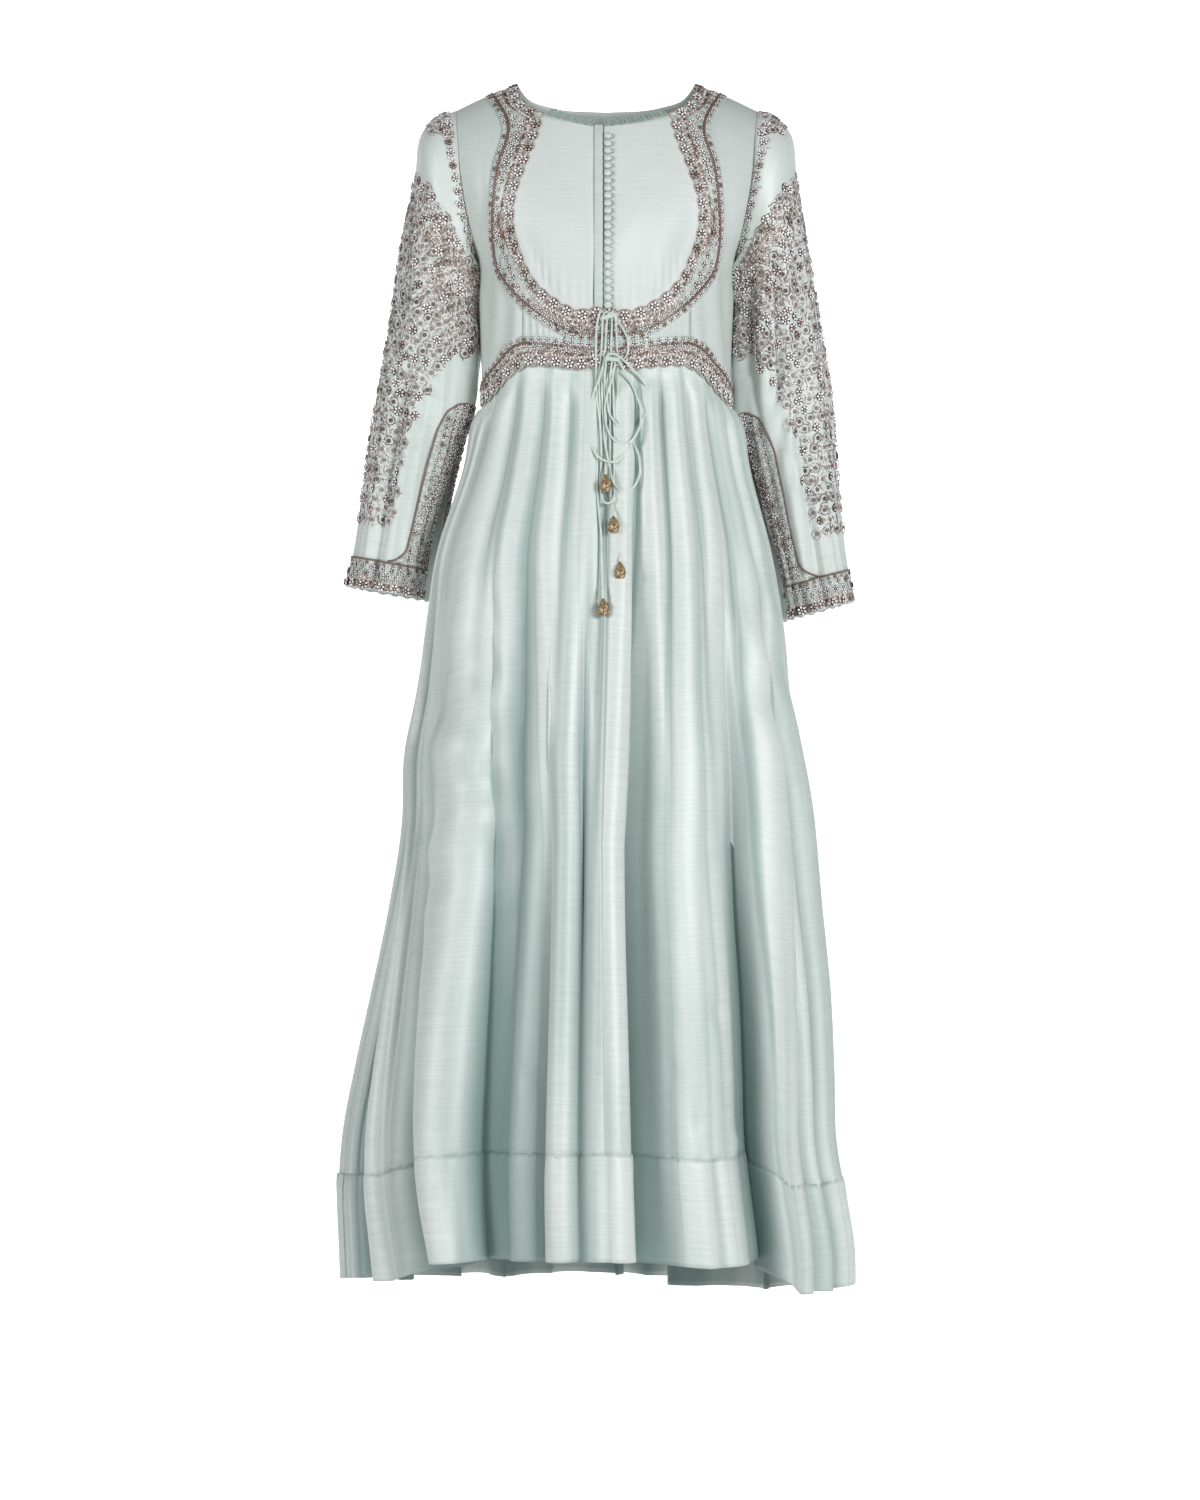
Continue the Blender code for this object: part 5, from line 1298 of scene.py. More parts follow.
# The same sleeves' fine ripples, as turns round and down above the elbow and below it, the shares
# where the folds start, end and give way to the lower ones, and how much the elbow is crumpled.
SLEEVE_RIPPLES = {"left": (9, 9, 0, 23, -6, 0.1, 0.5, 0.45, 0.4, 0.0022),
                  "right": (8, 7, 1, 21, 5, 0.12, 0.45, 0.4, 0.3, 0.0)}


def sleeve_folds(word, turn, share):
    """The folds of a sleeve, in metres out from its shape: a sum of soft ridges and ripples."""
    round_high, down_high, late, round_low, down_low, *limits, crumple = SLEEVE_RIPPLES[word]
    start, end, lower, slow = limits
    low = rise(share, start, 0.25)
    high = 1 - rise(share, end, 0.35)
    fall = rise(share, lower, slow)
    out = 0.0
    for height, where, at, drift, width in SLEEVE_FOLDS[word]:
        for along in ((low, high), (fall,), (low,))[where]:
            height = height * along
        out = out + height * ridge(turn, at + drift * share, width)
    out = out + 0.0022 * np.sin(round_high * turn + down_high * share + late) * low * high
    out = out + 0.0012 * np.sin(round_low * turn + down_low * share) * fall
    return out + crumple * hump(share, 0.63, 0.1) * ridge(turn, 84, 26) * np.sin(
        62 * share + 7 * turn + 2 * np.sin(4 * turn))


def toward_body(turn, share):
    """The sleeve's inner side is full under the arm, where it rests close to the bodice."""
    full = 0.008 + 0.0085 * (1 - rise(share, 0.12, 0.12))
    return full * ridge(turn, 0, 32) * rise(share, 0.004, 0.06) * (1 - rise(share, 0.54, 0.14))


sleeve_silk = slub_silk("sleeve_silk", dye(194, 207, 203), dye(229, 235, 232), rough=0.36)
sleeve_cloths = {}
for hand, word in HANDS:
    cut = sleeve_rings(word)

    def sleeve_cloth(turn, share, cut=cut, word=word):
        """Place on the sleeve's cloth, folds and all, and the direction out of it."""
        outward = ways_on(lambda *at: sleeve(cut, *at), turn, share, 0.02, 2e-3, 2e-3)[2]
        cap = 0.003 * ridge(turn, 180, 70) * rise(share, 0, 0.03) * (1 - rise(share, 0.08, 0.14))
        relief = sleeve_folds(word, turn, share) + toward_body(turn, share) + cap
        return sleeve(cut, turn, share) + outward * relief[..., None], outward

    sleeve_cloths[word] = sleeve_cloth
    ways = np.linspace(0, 1, 101)
    shares = np.concatenate([np.linspace(0, 0.04, 5)[:-1], np.linspace(0.04, 1, 108)])[:, None]
    fore, hind = slit_edges(shares)
    turn = fore + ways * (FULL_TURN + hind - fore)
    drawn = np.abs(np.sin(math.pi * ways * CUFF_LOBES)) ** 0.7
    share = shares * (1 - (1 - drawn) * (CUFF_DEEP / SLEEVE_LONG) * rise(shares, 0.9, 0.1))
    places, outward = sleeve_cloth(turn, share)
    spread = stacked((turn - math.pi) * 0.05, share * SLEEVE_LONG)
    thing = surface("silk_sleeve_" + word, facing(places, outward, spread, hand), closed=True)
    fit(walled(thing, SLEEVE_WALL), sleeve_silk, "silk", "sleeve_" + word)


# ---- the sewn borders of the sleeves ----
# The same work lies round each cuff, with a piping along its lobes, and up both sides of each
# slit, where its outer cord is rounded at the top and turns out into the cuff's.

def frames(cloth, turn, share, heading_down=False):
    """Places on a sleeve with the outward direction there and a heading, round it or down it."""
    round_it, down_it, outward = ways_on(lambda *at: cloth(*at)[0], turn, share, 0.02, 2e-3, 4e-3)
    places = cloth(turn, np.clip(share, 4e-3, 1 - 4e-3))[0]
    return places, outward, unit(down_it if heading_down else round_it)


CUFF_WIDE, SLIT_WIDE = 0.04, 0.034
for hand, word in HANDS:
    cloth = sleeve_cloths[word]

    # The cuff border: far is metres round from the slit's front edge, away is metres up.
    fore, hind = (float(edge) for edge in slit_edges(0.96))
    ways = np.linspace(fore, hind + FULL_TURN, 400)
    ring = cloth(ways, np.full(400, 0.96))[0]
    run = distances(ring)
    girth = run[-1]

    def cuff_lay(far, away, cloth=cloth, run=run, ways=ways):
        """Places on the cuff border's silk, with outward and heading."""
        share = 1 - away / SLEEVE_LONG
        fore, hind = slit_edges(share)
        way = np.interp(far, run, (ways - ways[0]) / (ways[-1] - ways[0]))
        turn = fore + way * (FULL_TURN + hind - fore)
        places, outward, heading = frames(cloth, turn, share)
        return places + outward * 0.001, outward, heading

    pitch = girth / CUFF_LOBES
    far = np.linspace(0, girth, CUFF_LOBES * 10 + 1)[:, None]
    t = np.linspace(0, 1, 18)
    start = lobes(far, pitch, CUFF_DEEP) - 0.0006
    away = start + t * (CUFF_WIDE - start)
    places, outward, _ = cuff_lay(*np.broadcast_arrays(far, away))
    band = surface("sewn_cuff_border_" + word,
                   facing(places, outward, stacked(far, away), hand))
    close = 0.26 + 0.62 * smooth_step((0.015 - away) / 0.002) * smooth_step(
        (away - 0.0006) / 0.002)
    fit(walled(toned(band, close), CUFF_WALL), stitched, "metal_thread", "cuff_border_" + word)

    def cuff_row(motif, away, pitch, size, start=0.5):
        """A motif sown in a row round the cuff."""
        count = int(girth / pitch)
        return sow(motif, cuff_lay, (np.arange(count) + start) * girth / count, away, size)

    far = np.linspace(0, girth, 560)
    parts = [cuff_row(rose, 0.0072, pitch, 0.0062), cuff_row(floret, 0.0104, pitch, 0.0024, 0.0),
             cuff_row(grain, 0.0156, 0.0034, 0.00145),
             cuff_row(rose, 0.0214, 0.0112, 0.0044), cuff_row(rose, 0.0302, 0.0112, 0.0042, 0.0),
             cuff_row(floret, 0.0356, 0.01, 0.0026)]
    drawn = lobes(far, pitch, CUFF_DEEP)
    for away, thick, bright in ((CUFF_WIDE - 0.001, 0.0012, 0.22), (0.0134, 0.0006, 0.5),
                                (drawn + 0.0016, 0.0007, 0.25)):
        parts.append(couched_on(cuff_lay, far, away, thick, bright))
    fit(joined("embroidery_cuff_" + word, parts, hand), metal_thread, "metal_thread")
    edge = mirrored(cuff_lay(far, drawn - 0.0002)[0], hand)
    fit(tubes("silk_piping_cuff_" + word, [edge], 0.0009, 6), rouleau, "silk")

    # The slit border: far is metres down from its top, away is metres from the slit's edge.
    top, foot = SLIT_BAND_TOP + 0.006, 1 - CUFF_WIDE / SLEEVE_LONG
    long = (foot - top) * SLEEVE_LONG

    def slit_wide(far, long=long):
        """The border's width: rounded at its top, and turned out where it meets the cuff's."""
        rounded = np.sqrt(np.clip(1 - (1 - np.clip(far / 0.048, 0, 1)) ** 2, 0, 1))
        turned = np.clip((far - long + 0.024) / 0.024, 0, 1)
        narrowed = 1 - 0.16 * rise(far, 0.06, 0.12)
        return SLIT_WIDE * rounded * narrowed + 0.024 * (1 - np.sqrt(1 - turned ** 2))

    def slit_lay(far, away, side, cloth=cloth, top=top):
        """Places on the slit border's silk, in front for side 1 or behind, with both ways."""
        share = top + far / SLEEVE_LONG
        edge = slit_edges(share)[0 if side > 0 else 1]
        span = cloth(edge + side * 0.5, share)[0] - cloth(edge, share)[0]
        turn = edge + side * away / (np.linalg.norm(span, axis=-1) / 0.5)
        places, outward, heading = frames(cloth, turn, share, True)
        return places + outward * 0.0009, outward, heading

    parts, grids, closes = [], [], []
    for side in (1, -1):
        def lay(far, away, side=side, find=slit_lay):
            """The same on one side of the slit."""
            return find(far, away, side)

        far = long * np.linspace(0.03, 1, 90)[:, None] ** 1.15
        away = np.linspace(0, 1, 16) * slit_wide(far)
        places, outward, _ = lay(*np.broadcast_arrays(far, away))
        spread = stacked(far, away + 0.5 * (side < 0))
        closes.append(0.34 + 0.5 * smooth_step((0.008 - away) / 0.0015))
        grids.append(facing(places, outward, spread, hand))
        for away, pitch, size, start, motif in (
                (0.0052, 0.0112, 0.0047, 0.5, rose), (0.0146, 0.0112, 0.0042, 0.0, bloom),
                (0.0236, 0.0112, 0.004, 0.5, bloom), (0.0146, 0.0112, 0.0024, 0.5, floret),
                (0.01, 0.0056, 0.0014, 0.0, grain), (0.0194, 0.0056, 0.0014, 0.0, grain)):
            far = (np.arange(int(long / pitch)) + start) * pitch
            keep = (away + size < slit_wide(far) - 0.001) & (far > size)
            parts.append(sow(motif, lay, far[keep], away, size))
        far = np.linspace(0.0003, long - 0.001, 300)
        for away, thick, bright in ((slit_wide(far), 0.0012, 0.22), (0.0007, 0.0008, 0.3)):
            parts.append(couched_on(lay, far, away, thick, bright))
    band = surface("sewn_slit_border_" + word, *grids)
    toned(band, np.concatenate([close.ravel() for close in closes]))
    fit(walled(band, SLIT_WALL), stitched, "metal_thread", "slit_border_" + word)
    fit(joined("embroidery_slit_" + word, parts, hand), metal_thread, "metal_thread")


# ---- the trailing pattern of the sleeves ----
# Curled stems round small flowers, with leaves between, cover the upper sleeve under a slanting
# edge, and run on down its outer side. A narrow double row of flowers follows the armhole.

def curl():
    """A curled stem one across, a flower in the middle of it and leaves outside it."""
    turn = np.linspace(0.2, 5.3, 11)
    radius = np.linspace(0.6, 0.82, 11)
    path = np.stack([radius * np.cos(turn), radius * np.sin(turn), np.full(11, 0.03)], axis=1)
    parts = [couched(path, np.tile([0.0, 0.0, 1.0], (11, 1)), 0.085, 0.5, 4)]
    points, triangles, tones = blade
    for at, way, length in ((0.2, -0.7, 0.5), (1.9, 0.6, 0.42), (3.5, -0.5, 0.46),
                            (5.3, 0.9, 0.55)):
        start = np.array([math.cos(at), math.sin(at), 0.0]) * np.interp(at, turn, radius)
        swing = at + way
        turned = np.stack([points[:, 0] * math.cos(swing) - points[:, 1] * math.sin(swing),
                           points[:, 0] * math.sin(swing) + points[:, 1] * math.cos(swing),
                           points[:, 2]], axis=1)
        parts.append((start + turned * length, triangles, tones))
    points, triangles, tones = floret
    parts.append((points * 0.4 * [1, 1, 0.8], triangles, tones))
    base = np.cumsum([0] + [len(part[0]) for part in parts])
    return (np.concatenate([part[0] for part in parts]),
            np.concatenate([part[1] + at for part, at in zip(parts, base)]),
            np.concatenate([part[2] for part in parts]))


def patterned(turn, share, grow=0.0):
    """Where the pattern lies: below a slant that falls from the inner line to the outer one, above
    a curve, and down the strip along the outer side. grow widens it by a share."""
    folded = np.degrees(np.abs((turn + math.pi) % FULL_TURN - math.pi))
    above = 0.07 + 0.1 * folded / 180 - grow
    below = np.interp(folded, (0, 70, 85, 96, 98), (0.38, 0.5, 0.58, 0.66, 0.86)) + grow
    cap = (folded > 118 + 500 * share) & (share > 0.012) & (share < 0.075)
    return (share > above) & (share < below) | cap


stem, CELL, STEP = curl(), 0.0138, 0.0122
for hand, word in HANDS:
    cloth = sleeve_cloths[word]
    turns, shares = [], []
    for k, share in enumerate(np.arange(0.018, 0.87, STEP / SLEEVE_LONG)):
        ring = cloth(np.linspace(0, FULL_TURN, 121), np.full(121, share))[0]
        run = distances(ring)
        count = int(run[-1] / CELL)
        at = (np.arange(count) + 0.5 * (k % 2) + 0.25) * run[-1] / count
        turns.append(np.interp(at, run, np.linspace(0, FULL_TURN, 121)))
        shares.append(np.full(count, share))
    turns, shares = np.concatenate(turns), np.concatenate(shares)
    turns = turns + chance.uniform(-0.022, 0.022, len(turns))
    shares = shares + chance.uniform(-0.002, 0.002, len(shares))
    kept = patterned(turns, shares)
    turns, shares = turns[kept], shares[kept]
    spots = any_way(frames(cloth, turns, shares))
    large = chance.uniform(0, 1, len(turns)) < 0.22
    parts = []
    for motif, where, size in ((stem, ~large, 0.0074), (rose, large, 0.0058)):
        parts.append(sown(motif, tuple(part[where] for part in spots), size, 0.0003))
    fill_turn = turns + 0.5 * CELL / 0.065
    filled = patterned(fill_turn, shares, -0.004) & (chance.uniform(0, 1, len(turns)) < 0.8)
    spots = any_way(frames(cloth, fill_turn[filled], shares[filled]))
    parts.append(sown(grain, spots, 0.0014, 0.0002))
    parts.append(sown(blade, any_way(spots), 0.0052, 0.0002))

    # The row along the armhole: flowers, with leaves and grains to each side of them.
    for motif, share, shift, size in ((rose, 0.025, 0.0, 0.005), (blade, 0.015, 0.5, 0.006),
                                      (blade, 0.035, 0.5, 0.006), (grain, 0.025, 0.5, 0.0015)):
        turn = (np.arange(34) + shift) * FULL_TURN / 34
        folded = np.degrees(np.abs((turn + math.pi) % FULL_TURN - math.pi))
        turn = turn[(folded > 26) & (folded < 150)]
        spots = any_way(frames(cloth, turn, np.full_like(turn, share)))
        parts.append(sown(motif, spots, size, 0.0003))
    fit(joined("embroidery_sleeve_" + word, parts, hand), metal_thread, "metal_thread")


# ---- the skirt ----
# Twenty-eight flared gores of silk, sewn in four quarters, fall from under the waist border in
# soft flutes, and gather lower down into fewer, deeper folds.

# The skirt's largest folds: the angle from the front of each trough at the waist, half way down and
# at the hem, its half width and depth at the hem, the height where it starts, and its lean, which
# is above 0 where the cloth beyond it laps over it.
FOLDS = table(
    "waist middle hem width depth start lean",
    (13, 6, 8, 4.2, 0.075, -0.4, -0.5), (47, 40, 44, 4.5, 0.072, -0.45, 0.48),
    (66, 61, 60, 3.2, 0.04, -0.75, 0.3), (88, 84, 82, 5.5, 0.05, -0.6, -0.3),
    (112, 110, 107, 5.0, 0.06, -0.5, 0.45), (136, 132, 131, 4.6, 0.05, -0.62, -0.4),
    (158, 157, 155, 5.2, 0.066, -0.46, 0.4), (181, 183, 180, 4.4, 0.052, -0.56, -0.45),
    (206, 204, 206, 5.4, 0.062, -0.48, 0.45), (229, 232, 229, 4.6, 0.048, -0.66, -0.3),
    (252, 255, 254, 5.0, 0.058, -0.52, 0.4), (276, 270, 282, 4.8, 0.04, -0.7, -0.45),
    (296, 284, 313, 4.2, 0.072, -0.5, 0.45), (318, 322, 328, 4.6, 0.07, -0.44, -0.4),
    (338, 344, 345, 4.0, 0.045, -0.5, 0.35),
)
# The height of the hem at each angle from the front.
HEM = table(
    "angle z",
    (0, -1.305), (25, -1.316), (42, -1.314), (52, -1.352), (66, -1.352), (82, -1.342),
    (110, -1.366), (140, -1.38), (158, -1.377), (180, -1.368), (220, -1.366), (250, -1.356),
    (280, -1.345), (300, -1.34), (313, -1.316), (335, -1.31), (360, -1.305),
)
# Small dents and puffs: their angle from the front, their share of the way down, their half
# width in degrees, half height as a share, and metres out.
DENTS = table(
    "angle share wide tall high",
    (19, 0.79, 1.6, 0.012, -0.0034), (24, 0.845, 1.4, 0.01, -0.003),
    (37, 0.868, 3.0, 0.01, 0.0036), (33, 0.73, 2.0, 0.02, -0.0026),
    (58, 0.7, 1.8, 0.03, -0.003), (340, 0.8, 2.4, 0.014, -0.0032),
    (150, 0.76, 2.4, 0.016, -0.0032), (214, 0.82, 2.2, 0.013, 0.0032),
)
WAIST_Z, HEM_Z, HEM_BAND = -0.357, -1.35, 0.118
TUCK_IN, TUCK_UP, TUCK_FALL = 0.003, 0.009, 0.024
GORES, GORE_WIDE = 28, 0.064
SKIRT_WALL, HEM_WALL = 0.0009, 0.0012


def fold_angles(height):
    """Angle of every trough at a height, and how deep it is there, in radians and metres."""
    fall = np.clip((height - WAIST_Z) / (HEM_Z - WAIST_Z), 0, 1)
    turn = np.stack([FOLDS["waist"], FOLDS["middle"], FOLDS["hem"]])
    angle = np.stack([np.interp(fall, (0, 0.5, 1), column) for column in turn.T], axis=-1)
    started = (FOLDS["start"] - height[..., None]) / (FOLDS["start"] - HEM_Z)
    return np.radians(angle), FOLDS["depth"] * smooth_step(np.clip(started, 0, 1) ** 0.8)


def follow(angle, height):
    """Where a line of the skirt has turned to at a height: the lines follow the troughs up."""
    hem = np.radians(FOLDS["hem"])
    shift = fold_angles(height)[0] - hem
    knots = np.concatenate([[hem[-1] - FULL_TURN], hem, [hem[0] + FULL_TURN]])
    shift = np.concatenate([shift[..., -1:], shift, shift[..., :1]], axis=-1)
    around = np.mod(angle, FULL_TURN)
    k = np.clip(np.searchsorted(knots, around, side="right") - 1, 0, len(knots) - 2)
    low = np.take_along_axis(shift, k[..., None], -1)[..., 0]
    high = np.take_along_axis(shift, k[..., None] + 1, -1)[..., 0]
    return angle + low + (high - low) * smooth_step((around - knots[k]) / (knots[k + 1] - knots[k]))


def trough(angle, height):
    """How far in the main folds draw the cloth, and how far round, under the cloth that laps over
    them, in metres."""
    away = angle[..., None] - np.radians(FOLDS["hem"])
    away = (away + math.pi) % FULL_TURN - math.pi
    side = np.where(away < 0, 1, -1) * FOLDS["lean"]
    away = np.abs(away) / (np.radians(FOLDS["width"]) * (1 + side))
    lip = 0.045 * np.clip(-2 * side, 0, 1) * hump(away, 2.3, 0.9)
    dip = 0.72 * np.exp(-away ** 2) + 0.28 * np.exp(-(away / 2.6) ** 2) - lip
    depth = fold_angles(height)[1]
    lap = 0.85 * depth * np.exp(-away ** 2) * FOLDS["lean"]
    return np.sum(depth * dip, axis=-1), np.sum(lap, axis=-1)


def skirt(angle, height):
    """Place on the skirt. The angle is counted at the hem, and a line of one angle follows the
    folds up. The section is an ellipse, with a trough drawn in at each fold."""
    turned = follow(angle, height)
    side, ahead = np.sin(turned), np.cos(turned)
    half = np.where(side >= 0, read(SKIRT, "left", height), read(SKIRT, "right", height))
    deep = np.where(ahead >= 0, read(SKIRT, "front", height), read(SKIRT, "back", height))
    drawn, lapped = trough(angle, height)
    scale = 1 - drawn / np.hypot(half * side, deep * ahead)
    lapped = lapped / np.hypot(half * ahead, deep * side)
    return np.stack([half * (side * scale + ahead * lapped),
                     -deep * (ahead * scale - side * lapped), height], axis=-1)


def waist_height(angle):
    """Height of the waist seam at an angle from the front."""
    front_rows, back_rows = WAIST_ROWS
    folded = np.abs((angle + math.pi) % FULL_TURN - math.pi)
    before = np.interp(folded, front_rows[:, 0], front_rows[:, 1])
    behind = np.interp(math.pi - folded, back_rows[:, 0], back_rows[:, 1])
    return np.where(folded <= math.pi / 2, before, behind)


def hem_height(angle):
    """Height of the hem at an angle from the front."""
    return np.interp(np.degrees(angle) % 360, HEM["angle"], HEM["z"])


def skirt_at(angle, share):
    """Place on the skirt at a share of the way from the waist seam to the hem. Its top is tucked
    under the waist seam, and it leaves the torso's shape within a short fall."""
    seam_angle = follow(angle, np.full_like(angle, WAIST_Z))
    seam, foot = waist_height(seam_angle), hem_height(angle)
    top = seam + TUCK_UP
    height = top + share * (foot - top)
    half = read(TORSO, "half", height) - TUCK_IN
    deep = np.where(np.cos(seam_angle) >= 0, read(TORSO, "front", height),
                    read(TORSO, "back", height)) - TUCK_IN
    tucked = np.stack([half * np.sin(seam_angle), -deep * np.cos(seam_angle), height], axis=-1)
    freed = smooth_step((seam - height) / TUCK_FALL)[..., None]
    return tucked + freed * (skirt(angle, height) - tucked)


def wave(angle, times, wander, late):
    """A ripple round the skirt with uneven spacing, sharp at its troughs and broad between."""
    phase = times * angle + wander * np.sin(3 * angle + late) + 0.6 * wander * np.sin(7 * angle)
    return np.abs(np.sin(phase / 2)) ** 0.9 - 0.5


def skirt_folds(angle, share):
    """Folds smaller than the main ones: flutes from the waist that die away, folds that grow
    towards the hem, and crumples low at the front right. Gives metres out, and how much
    painted shade each place takes in the troughs of these folds, from 0 to 1."""
    free = rise(share, 0.006, 0.05)
    drift = 0.1 * np.sin(2.2 * share + 2 * angle)
    fading = free * (1 - rise(share, 0.22, 0.45)) * (0.75 + 0.25 * np.sin(5 * angle + 1))
    growing = rise(share, 0.1, 0.4) * (0.66 + 0.34 * np.sin(4 * angle + 2.2))
    degrees = np.degrees(angle) % 360
    growing = growing * (1 - 0.7 * hump(degrees, 27, 11))
    late = rise(share, 0.45, 0.5)
    out, unshaded = 0.0, 1.0
    for high, drawn, ripple in ((0.0125, fading, wave(angle + 0.2 * drift, 29, 1.1, 0.4)),
                                (0.0275, growing, wave(angle + 0.35 * drift, 17, 1.6, 1.9)),
                                (0.0045, late, wave(angle - 0.3 * drift, 41, 1.3, 2.7))):
        out = out + high * drawn * ripple
        # Painted shade deepens towards the bottom of each ripple's trough.
        trough_shade = smooth_step((0.06 - ripple) / 0.52)
        unshaded = unshaded * (1 - min(1, high / 0.014) * np.clip(drawn, 0, 1) * trough_shade)
    patch = np.exp(-((degrees - 322) / 13) ** 2 - ((share - 0.42) / 0.17) ** 2)
    crumple = patch * (0.0032 * np.sin(52 * share + 9 * angle + 2 * np.sin(11 * share))
                       + 0.0018 * np.sin(96 * share - 16 * angle))
    patch = np.exp(-((degrees - 62) / 11) ** 2 - ((share - 0.3) / 0.12) ** 2)
    crumple = crumple + patch * 0.003 * np.sin(64 * share - 12 * angle)
    for at, low, wide, tall, high in zip(*DENTS.values()):
        crumple = crumple + high * np.exp(-((degrees - at - 60 * (share - low)) / wide) ** 2
                                          - ((share - low) / tall) ** 2)
    hip = 0.0085 * rise(share, 0.004, 0.012) * np.exp(
        -((share - 0.018) / 0.035) ** 2) * np.sin(angle) ** 6
    return out + crumple + hip, 1 - unshaded


def skirt_cloth(angle, share, lift=0.0):
    """Place on the skirt's silk, the direction out of it, and how much painted shade it takes in
    the troughs of its folds, small and large.
    """
    angle, share = np.broadcast_arrays(np.asarray(angle, float), np.asarray(share, float))
    outward, places = ways_on(skirt_at, angle, share, 2e-3, 2e-3, 2e-3)[2], skirt_at(angle, share)
    relief, hollow_shade = skirt_folds(angle, share)
    # Painted shade also darkens the troughs of the main folds; the two shades are joined.
    deep = smooth_step((trough(angle, places[..., 2])[0] - 0.01) / 0.045)
    return places + outward * (relief + lift)[..., None], outward, 1 - (1 - hollow_shade) * (1 - deep)


def gore_map(angle, share):
    """The cloth's map: across in gores of one width, whose seams lie between two whole steps."""
    return stacked(angle / FULL_TURN * GORES * GORE_WIDE, share)


WAIST_ROWS = waist_front, waist_back
# The skirt's dyes are lightened to the colour of its lit crests, a painted highlight, and each
# piece's tone darkens the hollows of its folds as painted shade.
skirt_silk = slub_silk("skirt_silk", dye(194, 207, 203), dye(231, 237, 234), GORE_WIDE, 0.36)
for word, start in (("front_left", 0), ("back_left", 90), ("back_right", 180),
                    ("front_right", 270)):
    angle = np.radians(np.linspace(start, start + 90, 128))
    share = np.concatenate([np.linspace(0, 0.05, 11)[:-1],
                            np.linspace(0.05, 1 - HEM_BAND + 0.004, 82)])[:, None]
    places, outward, hollow_shade = skirt_cloth(angle, share)
    thing = surface("silk_skirt_" + word, facing(places, outward, gore_map(angle, share)))
    fit(walled(toned(thing, hollow_shade), SKIRT_WALL), skirt_silk, "silk", "skirt_" + word)

# The hem bands are a second thickness of silk, sewn on with a seam that draws the cloth up.
for word, start in (("front", 270), ("back", 90)):
    angle = np.radians(np.linspace(start, start + 180, 241))
    share = np.linspace(1 - HEM_BAND, 1, 22)[:, None]
    drawn = np.exp(-((share - 1 + HEM_BAND) / 0.018) ** 2)
    puckers = 0.001 * drawn * np.sin(210 * angle + 4 * np.sin(13 * angle))
    lift = 0.0004 + 0.0007 * smooth_step((share - 1 + HEM_BAND) / 0.012)
    # The hem bands carry the same painted shade in the hollows of their folds.
    places, outward, hollow_shade = skirt_cloth(angle, share, lift + puckers)
    thing = surface("silk_hem_band_" + word, facing(places, outward, gore_map(angle, share)))
    fit(walled(toned(thing, hollow_shade), HEM_WALL), skirt_silk, "silk", "hem_band_" + word)


# ---- the small fastenings ----
# Twenty-three silk-covered buttons with a loop round each, closed up the front, and a row of
# silk loops standing on the front neck edge.

BUTTON_DIAMETER, BUTTON_THICK, BUTTON_PITCH = 0.0084, 0.0052, 0.0087
BUTTON_COUNT, BUTTON_TOP_Z, BUTTON_X = 23, -0.0591, 0.0019
covered, strand, shader = finish("button_silk", Roughness=0.38, Sheen_Weight=0.25)
cloth = strand.cloth()
weave = cloth.noise((700, 2600, 1), 3.0)
feed(shader, Base_Color=weave.over(0.3, 0.7).mix(dye(186, 194, 187), dye(230, 234, 228)),
     Normal=weave.bump(0.0002))
down, turn = np.linspace(0, math.pi, 13)[:, None], np.linspace(0, FULL_TURN, 21)
z = BUTTON_TOP_Z - np.arange(BUTTON_COUNT) * BUTTON_PITCH
seat = torso(angled(np.full_like(z, BUTTON_X), z))
outward = torso_outward(seat, -1)
beside = unit(np.cross(outward, [0, 0, 1.0]))
above = np.cross(beside, outward)
seat = seat + outward * (BUTTON_THICK / 2 + SEAM)
puckered = 1 + 0.02 * np.cos(9 * turn) * np.sin(down) ** 2 * (down > math.pi / 2)
round_it = np.sin(down) * puckered
grid = seat[:, None, None] + BUTTON_THICK / 2 * np.cos(down)[None, ..., None] * (
    outward[:, None, None])
for way, swing in ((beside, np.cos(turn)), (above, np.sin(turn))):
    grid = grid + BUTTON_DIAMETER / 2 * (round_it * swing)[None, ..., None] * way[:, None, None]
spread = stacked((round_it * np.cos(turn))[None] * 0.004
                 + np.arange(BUTTON_COUNT)[:, None, None] * 0.03,
                 (round_it * np.sin(turn))[None] * 0.004)
buttons = surface("covered_buttons", *zip(grid, grid[:, 6, 10] - seat, spread), closed=True)
fit(buttons, covered, "pale_silk", *(f"front_button_{k:02d}" for k in range(1, BUTTON_COUNT + 1)))

turn = np.linspace(-0.62 * math.pi, 0.62 * math.pi, 19)[:, None]
reach = BUTTON_DIAMETER / 2 + 0.0003
lines = []
for place, out, side, up in zip(seat - outward * BUTTON_THICK * 0.32, outward, beside, above):
    ring = place + reach * (np.cos(turn) * side + np.sin(turn) * up * 0.92)
    tail = place - side * 0.0064 - out * 0.0012
    lines.append(np.concatenate([[tail + up * 0.0008], ring[::-1], [tail - up * 0.0008]]))
# Painted shade: a darker copy of the rouleau silk, so that the loops stand for the shadow round
# each button; the neck loops use it too.
shaded_loop_silk, strand, shader = finish("shaded_loop_silk", Roughness=0.5, Sheen_Weight=0.2)
grain_of_it = strand.cloth().noise((900, 900, 1), 2.0)
feed(shader, Base_Color=grain_of_it.mix(dye(122, 147, 138), dye(178, 197, 189)),
     Normal=grain_of_it.bump(0.0001))
loops = tubes("button_loops", [even(line, line, 26) for line in lines], 0.0007, 6, (0, 0, 1))
fit(loops, shaded_loop_silk, "silk")

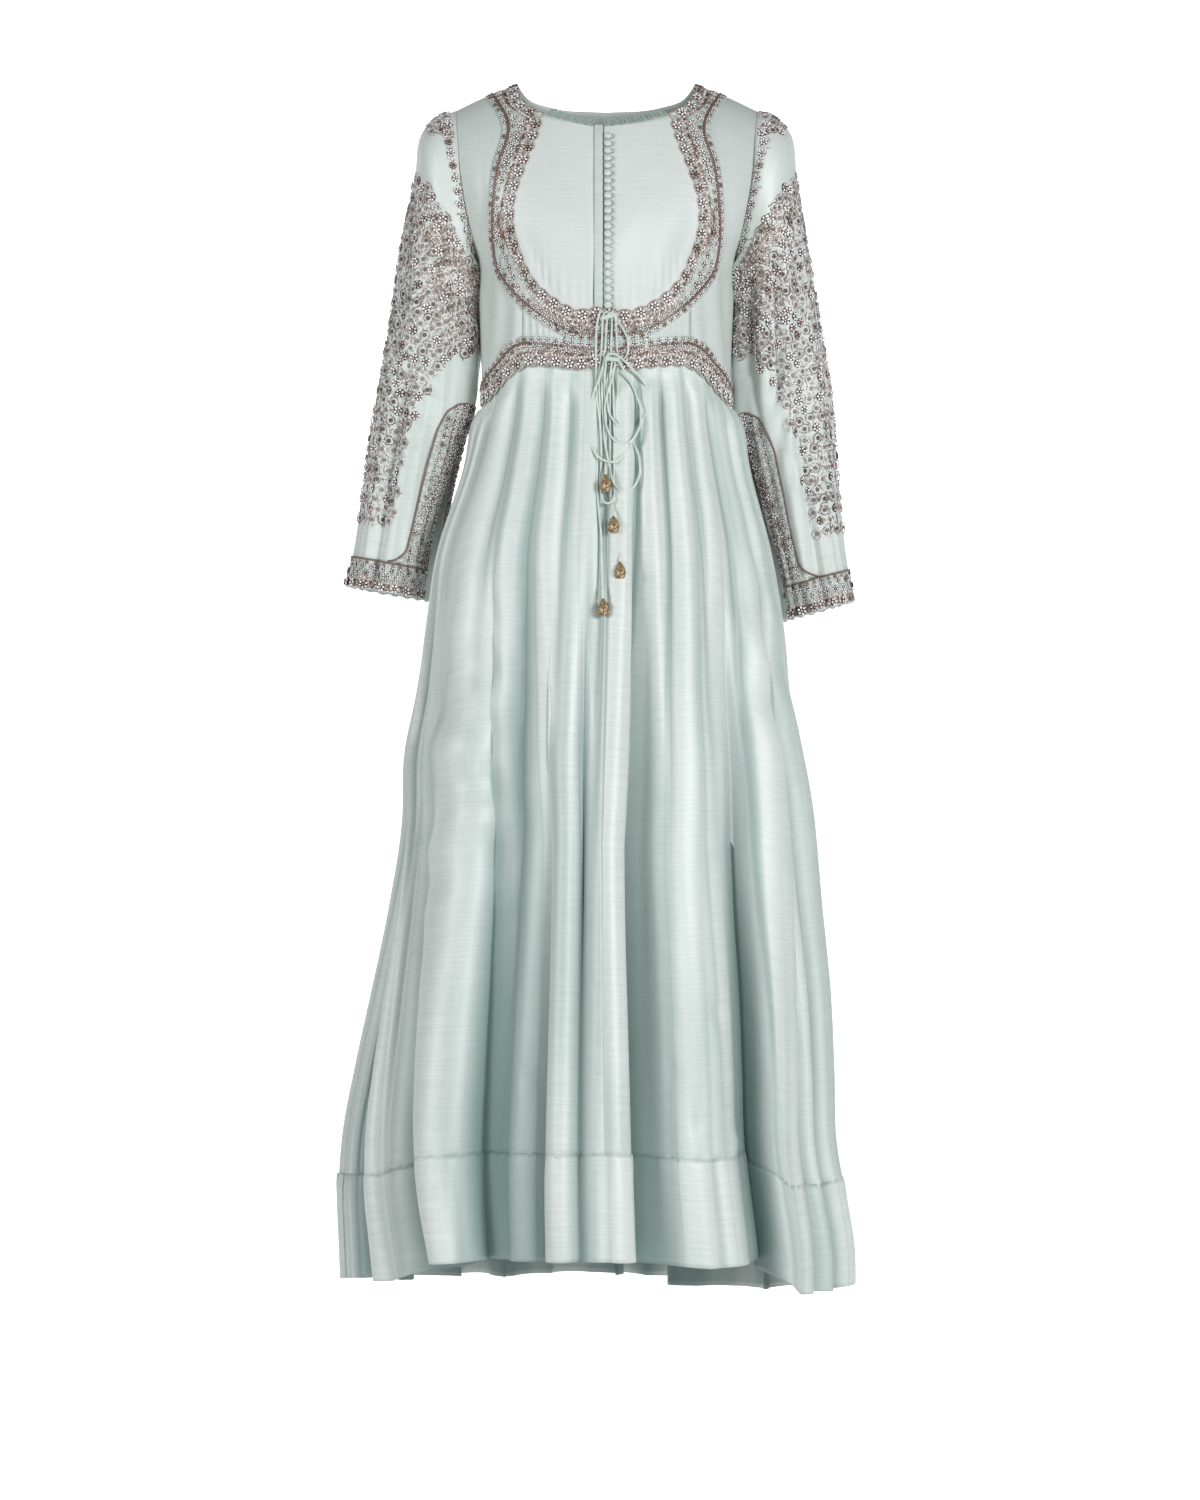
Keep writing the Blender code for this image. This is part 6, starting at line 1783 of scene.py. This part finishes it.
LOOP_HEIGHT, LOOP_PITCH = 0.0102, 0.0051
for hand, word in HANDS:
    edge = torso(necklines[word])
    run = distances(edge)
    count = int(round((run[-1] - 0.004) / LOOP_PITCH))
    at = 0.002 + (np.arange(count) + 0.5) * (run[-1] - 0.004) / count
    foot = between(at, run, edge)
    along = unit(between(at, run, np.gradient(edge, axis=0)))
    outward = torso_outward(foot, -1)
    up = unit(np.cross(outward, along))
    up = np.where(up[:, 2:] < 0, -up, up)
    turn = np.linspace(0, math.pi, 9)
    lines = []
    for k in range(count):
        wide = 0.0018 + 0.00025 * math.sin(5.1 * k)
        lean = -0.18 + 0.14 * math.sin(2.3 * k) - 0.3 * k / count
        tall = (LOOP_HEIGHT - 0.0022) * (0.92 + 0.08 * math.cos(3.7 * k))
        axis = unit(up[k] + lean * along[k])
        rim = [foot[k] + axis * (tall - wide)
               + wide * (math.cos(t) * -along[k] + math.sin(t) * axis) for t in turn]
        rise = [foot[k] - along[k] * wide * 0.8 - axis * 0.003, foot[k] - along[k] * wide * 0.9]
        fall = [foot[k] + along[k] * wide * 0.9, foot[k] + along[k] * wide * 0.8 - axis * 0.003]
        line = np.array(rise + rim + fall) + outward[k] * (0.0004 if k % 2 else -0.0002)
        lines.append(mirrored(even(line, line, 30), hand))
    loops = tubes("neck_loops_silk_" + word, lines, 0.00088, 8, (0, 0, 1))
    fit(loops, shaded_loop_silk, "silk", "neck_loops_" + word)


# ---- the cut ----
# Each sheet of silk as it was cut, width by length in metres, with its flat area where the cut is
# not a rectangle, how it is held, what it lies on or hangs from, and what is sewn on it.

piece = bpy.data.objects
for word, yoke_wide in (("left", 0.13), ("right", 0.11)):
    for name, flat, area, held, on, sewn in (
            ("silk_yoke_", (yoke_wide, 0.236), 0.0235 * yoke_wide / 0.13, "stretched", (),
             ["neck_loops_silk_"]),
            ("silk_side_front_", (0.125, 0.34), 0.023, "stretched", (), []),
            ("silk_midriff_", (0.05, 0.046), 0.0014, "gathered", (), []),
            ("silk_sleeve_", (0.33, 0.6), 0.158, "hung", (), ["embroidery_sleeve_"]),
            ("sewn_yoke_border_", (0.045, 0.4), 0.016, "stretched", "silk_yoke_",
             ["embroidery_yoke_border_"]),
            ("sewn_waist_border_", (0.04, 0.19), 0.0067, "stretched", "silk_side_front_",
             ["embroidery_waist_border_"]),
            ("sewn_cuff_border_", (0.275, 0.04), 0.0105, "hung", "silk_sleeve_",
             ["embroidery_cuff_", "silk_piping_cuff_"]),
            ("sewn_slit_border_", (0.064, 0.245), 0.0135, "hung", "silk_sleeve_",
             ["embroidery_slit_"]),
            ("silk_skirt_front_", (0.64, 0.95), 0.4, "gathered", "sewn_waist_border_", []),
            ("silk_skirt_back_", (0.64, 0.95), 0.4, "gathered", "silk_back", [])):
        on = on and [on if on in piece else on + word]
        piece[name + word]
        [piece[part + word] for part in sewn]
        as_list(on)


# ---- the bounds ----
# The box round what is shown, the backdrop left out, is found.

low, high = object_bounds()
